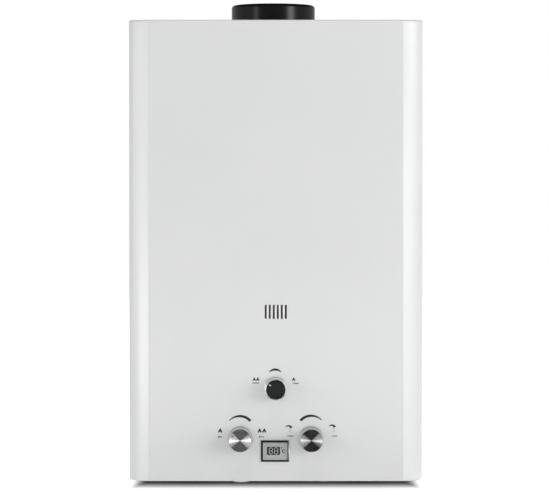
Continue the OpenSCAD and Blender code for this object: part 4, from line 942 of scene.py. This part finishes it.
def board_paint(name, strength):
    """Matt black paint for a board, or a glowing sheet where it has a strength."""
    mat = new_finish(name, (0.03, 0.03, 0.03), 0.9)
    shader_of(mat).inputs["Emission Color"].default_value = (1, 1, 1, 1)
    shader_of(mat).inputs["Emission Strength"].default_value = strength
    return mat


def way_out(angle):
    """The level way from the heater at an angle from the front, in degrees to the right."""
    return Vector((math.sin(math.radians(angle)), -math.cos(math.radians(angle)), 0))


def as_reflection(board):
    """Leaves a board to the reflections only."""
    board.visible_camera = False
    board.visible_diffuse = False
    board.visible_shadow = False


black_board = board_paint("board_paint", 0.0)
grey_board = board_paint("grey_board", 0.35)
lamp_board = board_paint("lamp_board", 5.2)
roof_z = 0.6
split_z = 0.37
band_r = 1.5


def dark_board(name, corners):
    """A flat dark board."""
    bm = bmesh.new()
    bm.faces.new([bm.verts.new(corner) for corner in corners])
    as_reflection(new_piece(bm, name, black_board))


def round_band(name, first, last, finish, foot_z=0.135, head_z=roof_z):
    """A round board at the height of the collar's reflections, between two angles from the front."""
    bm = bmesh.new()
    way = way_out(first) * band_r
    foot, head = (bm.verts.new(Vector((*flue_axis, z)) + way) for z in (foot_z, head_z))
    bmesh.ops.spin(bm, geom=[foot, head, bm.edges.new((foot, head))], cent=(*flue_axis, 0), axis=(0, 0, 1),
                   dvec=(0, 0, 0), angle=math.radians(last - first), steps=32)
    as_reflection(new_piece(bm, name, finish))


far = front - 3.1
card_far = front - 0.5
card_near = front - 0.04
dark_board("tall_board", [(x, far, z) for x, z in ((-0.85, ground), (0.85, ground), (0.85, 0), (4.5, 2.6),
                                                   (-4.5, 2.6), (-0.85, 0))])
dark_board("floor_card", [(x, y, ground + 0.002) for x, y in ((-0.17, card_far), (0.17, card_far),
                                                              (0.22, card_near), (-0.22, card_near))])
dark_board("roof_board", [(x * band_r, y * band_r, roof_z) for x, y in ((-1, -1), (1, -1), (1, 1), (-1, 1))])
round_band("front_band", -43, 40, black_board, head_z=split_z)
round_band("upper_band", -43, 40, grey_board, foot_z=split_z)
round_band("right_lamp", 41, 58, lamp_board, foot_z=0.09)
round_band("right_band", 60, 104, grey_board)
round_band("rear_band", 104, 266, grey_board)
round_band("left_band", 266, 307, grey_board)

world = bpy.data.worlds.new("studio")
bpy.context.scene.world = world
world.use_nodes = True
sky = world.node_tree.nodes["Background"]
sky.inputs["Color"].default_value = (1, 1, 1, 1)
sky_level = add_node(world, "ShaderNodeMapRange", To_Min=0.3, To_Max=1.0)
join(world, in_view(world), "Value", sky_level, "Value")
join(world, sky_level, "Result", sky, "Strength")

# The lamps leave the knobs' spun faces to what these mirror.
spun_faces = bpy.data.collections.new("spun_faces")
for name in ("gas_cap_face", "water_cap_face"):
    spun_faces.objects.link(bpy.data.objects[name])
for spun_face in spun_faces.collection_objects:
    spun_face.light_linking.link_state = "EXCLUDE"


def soft_light(name, place, aim, w, l, power, mirrored=True):
    """A rectangular soft light at a place, facing a point, that shiny faces mirror or not."""
    lamp = bpy.data.lights.new(name, "AREA")
    lamp.shape = "RECTANGLE"
    lamp.size = w
    lamp.size_y = l
    lamp.energy = power
    light = bpy.data.objects.new(name, lamp)
    light.location = place
    light.rotation_euler = (Vector(aim) - Vector(place)).to_track_quat("-Z", "Y").to_euler()
    light.visible_camera = False
    light.visible_glossy = mirrored
    light.light_linking.receiver_collection = spun_faces
    bpy.context.scene.collection.objects.link(light)
    return light


middle = (0, front / 2, (base + top) / 2)
soft_light("left_light", (-1.66, -1.2, -0.3), middle, 1.8, 1.8, 14)
soft_light("right_light", (1.58, -1.31, -0.3), middle, 1.8, 1.8, 26.5, mirrored=False)
soft_light("top_light", (0, -0.9, 1.7), middle, 1.4, 1.4, 8)
soft_light("front_light", (0, -3.2, 0.3), middle, 2.0, 2.0, 6.2, mirrored=False)
soft_light("low_light", (0, -1.9, -0.42), (0, front, ground), 1.6, 0.2, 0.6)

# Two more lamps reach the cover alone, and only as a sheen, so that its corner strips stand out.
strips = bpy.data.collections.new("strips")
strips.objects.link(cover)


def strip_light(name, strip, angle, away, w, l, power):
    """A lamp at an angle from the front, whose sheen falls on one corner strip."""
    glint = soft_light(name, strip + away * way_out(angle), strip, w, l, power)
    glint.visible_diffuse = False
    glint.light_linking.receiver_collection = strips


strip_light("left_glint", Vector((-half_w, front, -0.405)), -35, 0.9, 0.48, 0.23, 1.2)
strip_light("right_glint", Vector((half_w, front, -0.285)), 34, 1.5, 0.75, 0.47, 2.25)

# Camera: long lens a little above the middle, looking slightly down.
# It stands square to the front, far enough off to keep the perspective slight.
view_far = 2.9
eye_x = -0.0009
eye_z = -0.131
look_down = 0.9
lens = bpy.data.cameras.new("camera")
lens.lens = 162.35
lens.shift_y = -0.0823
camera = bpy.data.objects.new("camera", lens)
camera.location = (eye_x, front - view_far, eye_z)
camera.rotation_euler = (math.radians(90 - look_down), 0, 0)
bpy.context.scene.collection.objects.link(camera)
bpy.context.scene.camera = camera
bpy.context.scene.view_settings.view_transform = "Standard"
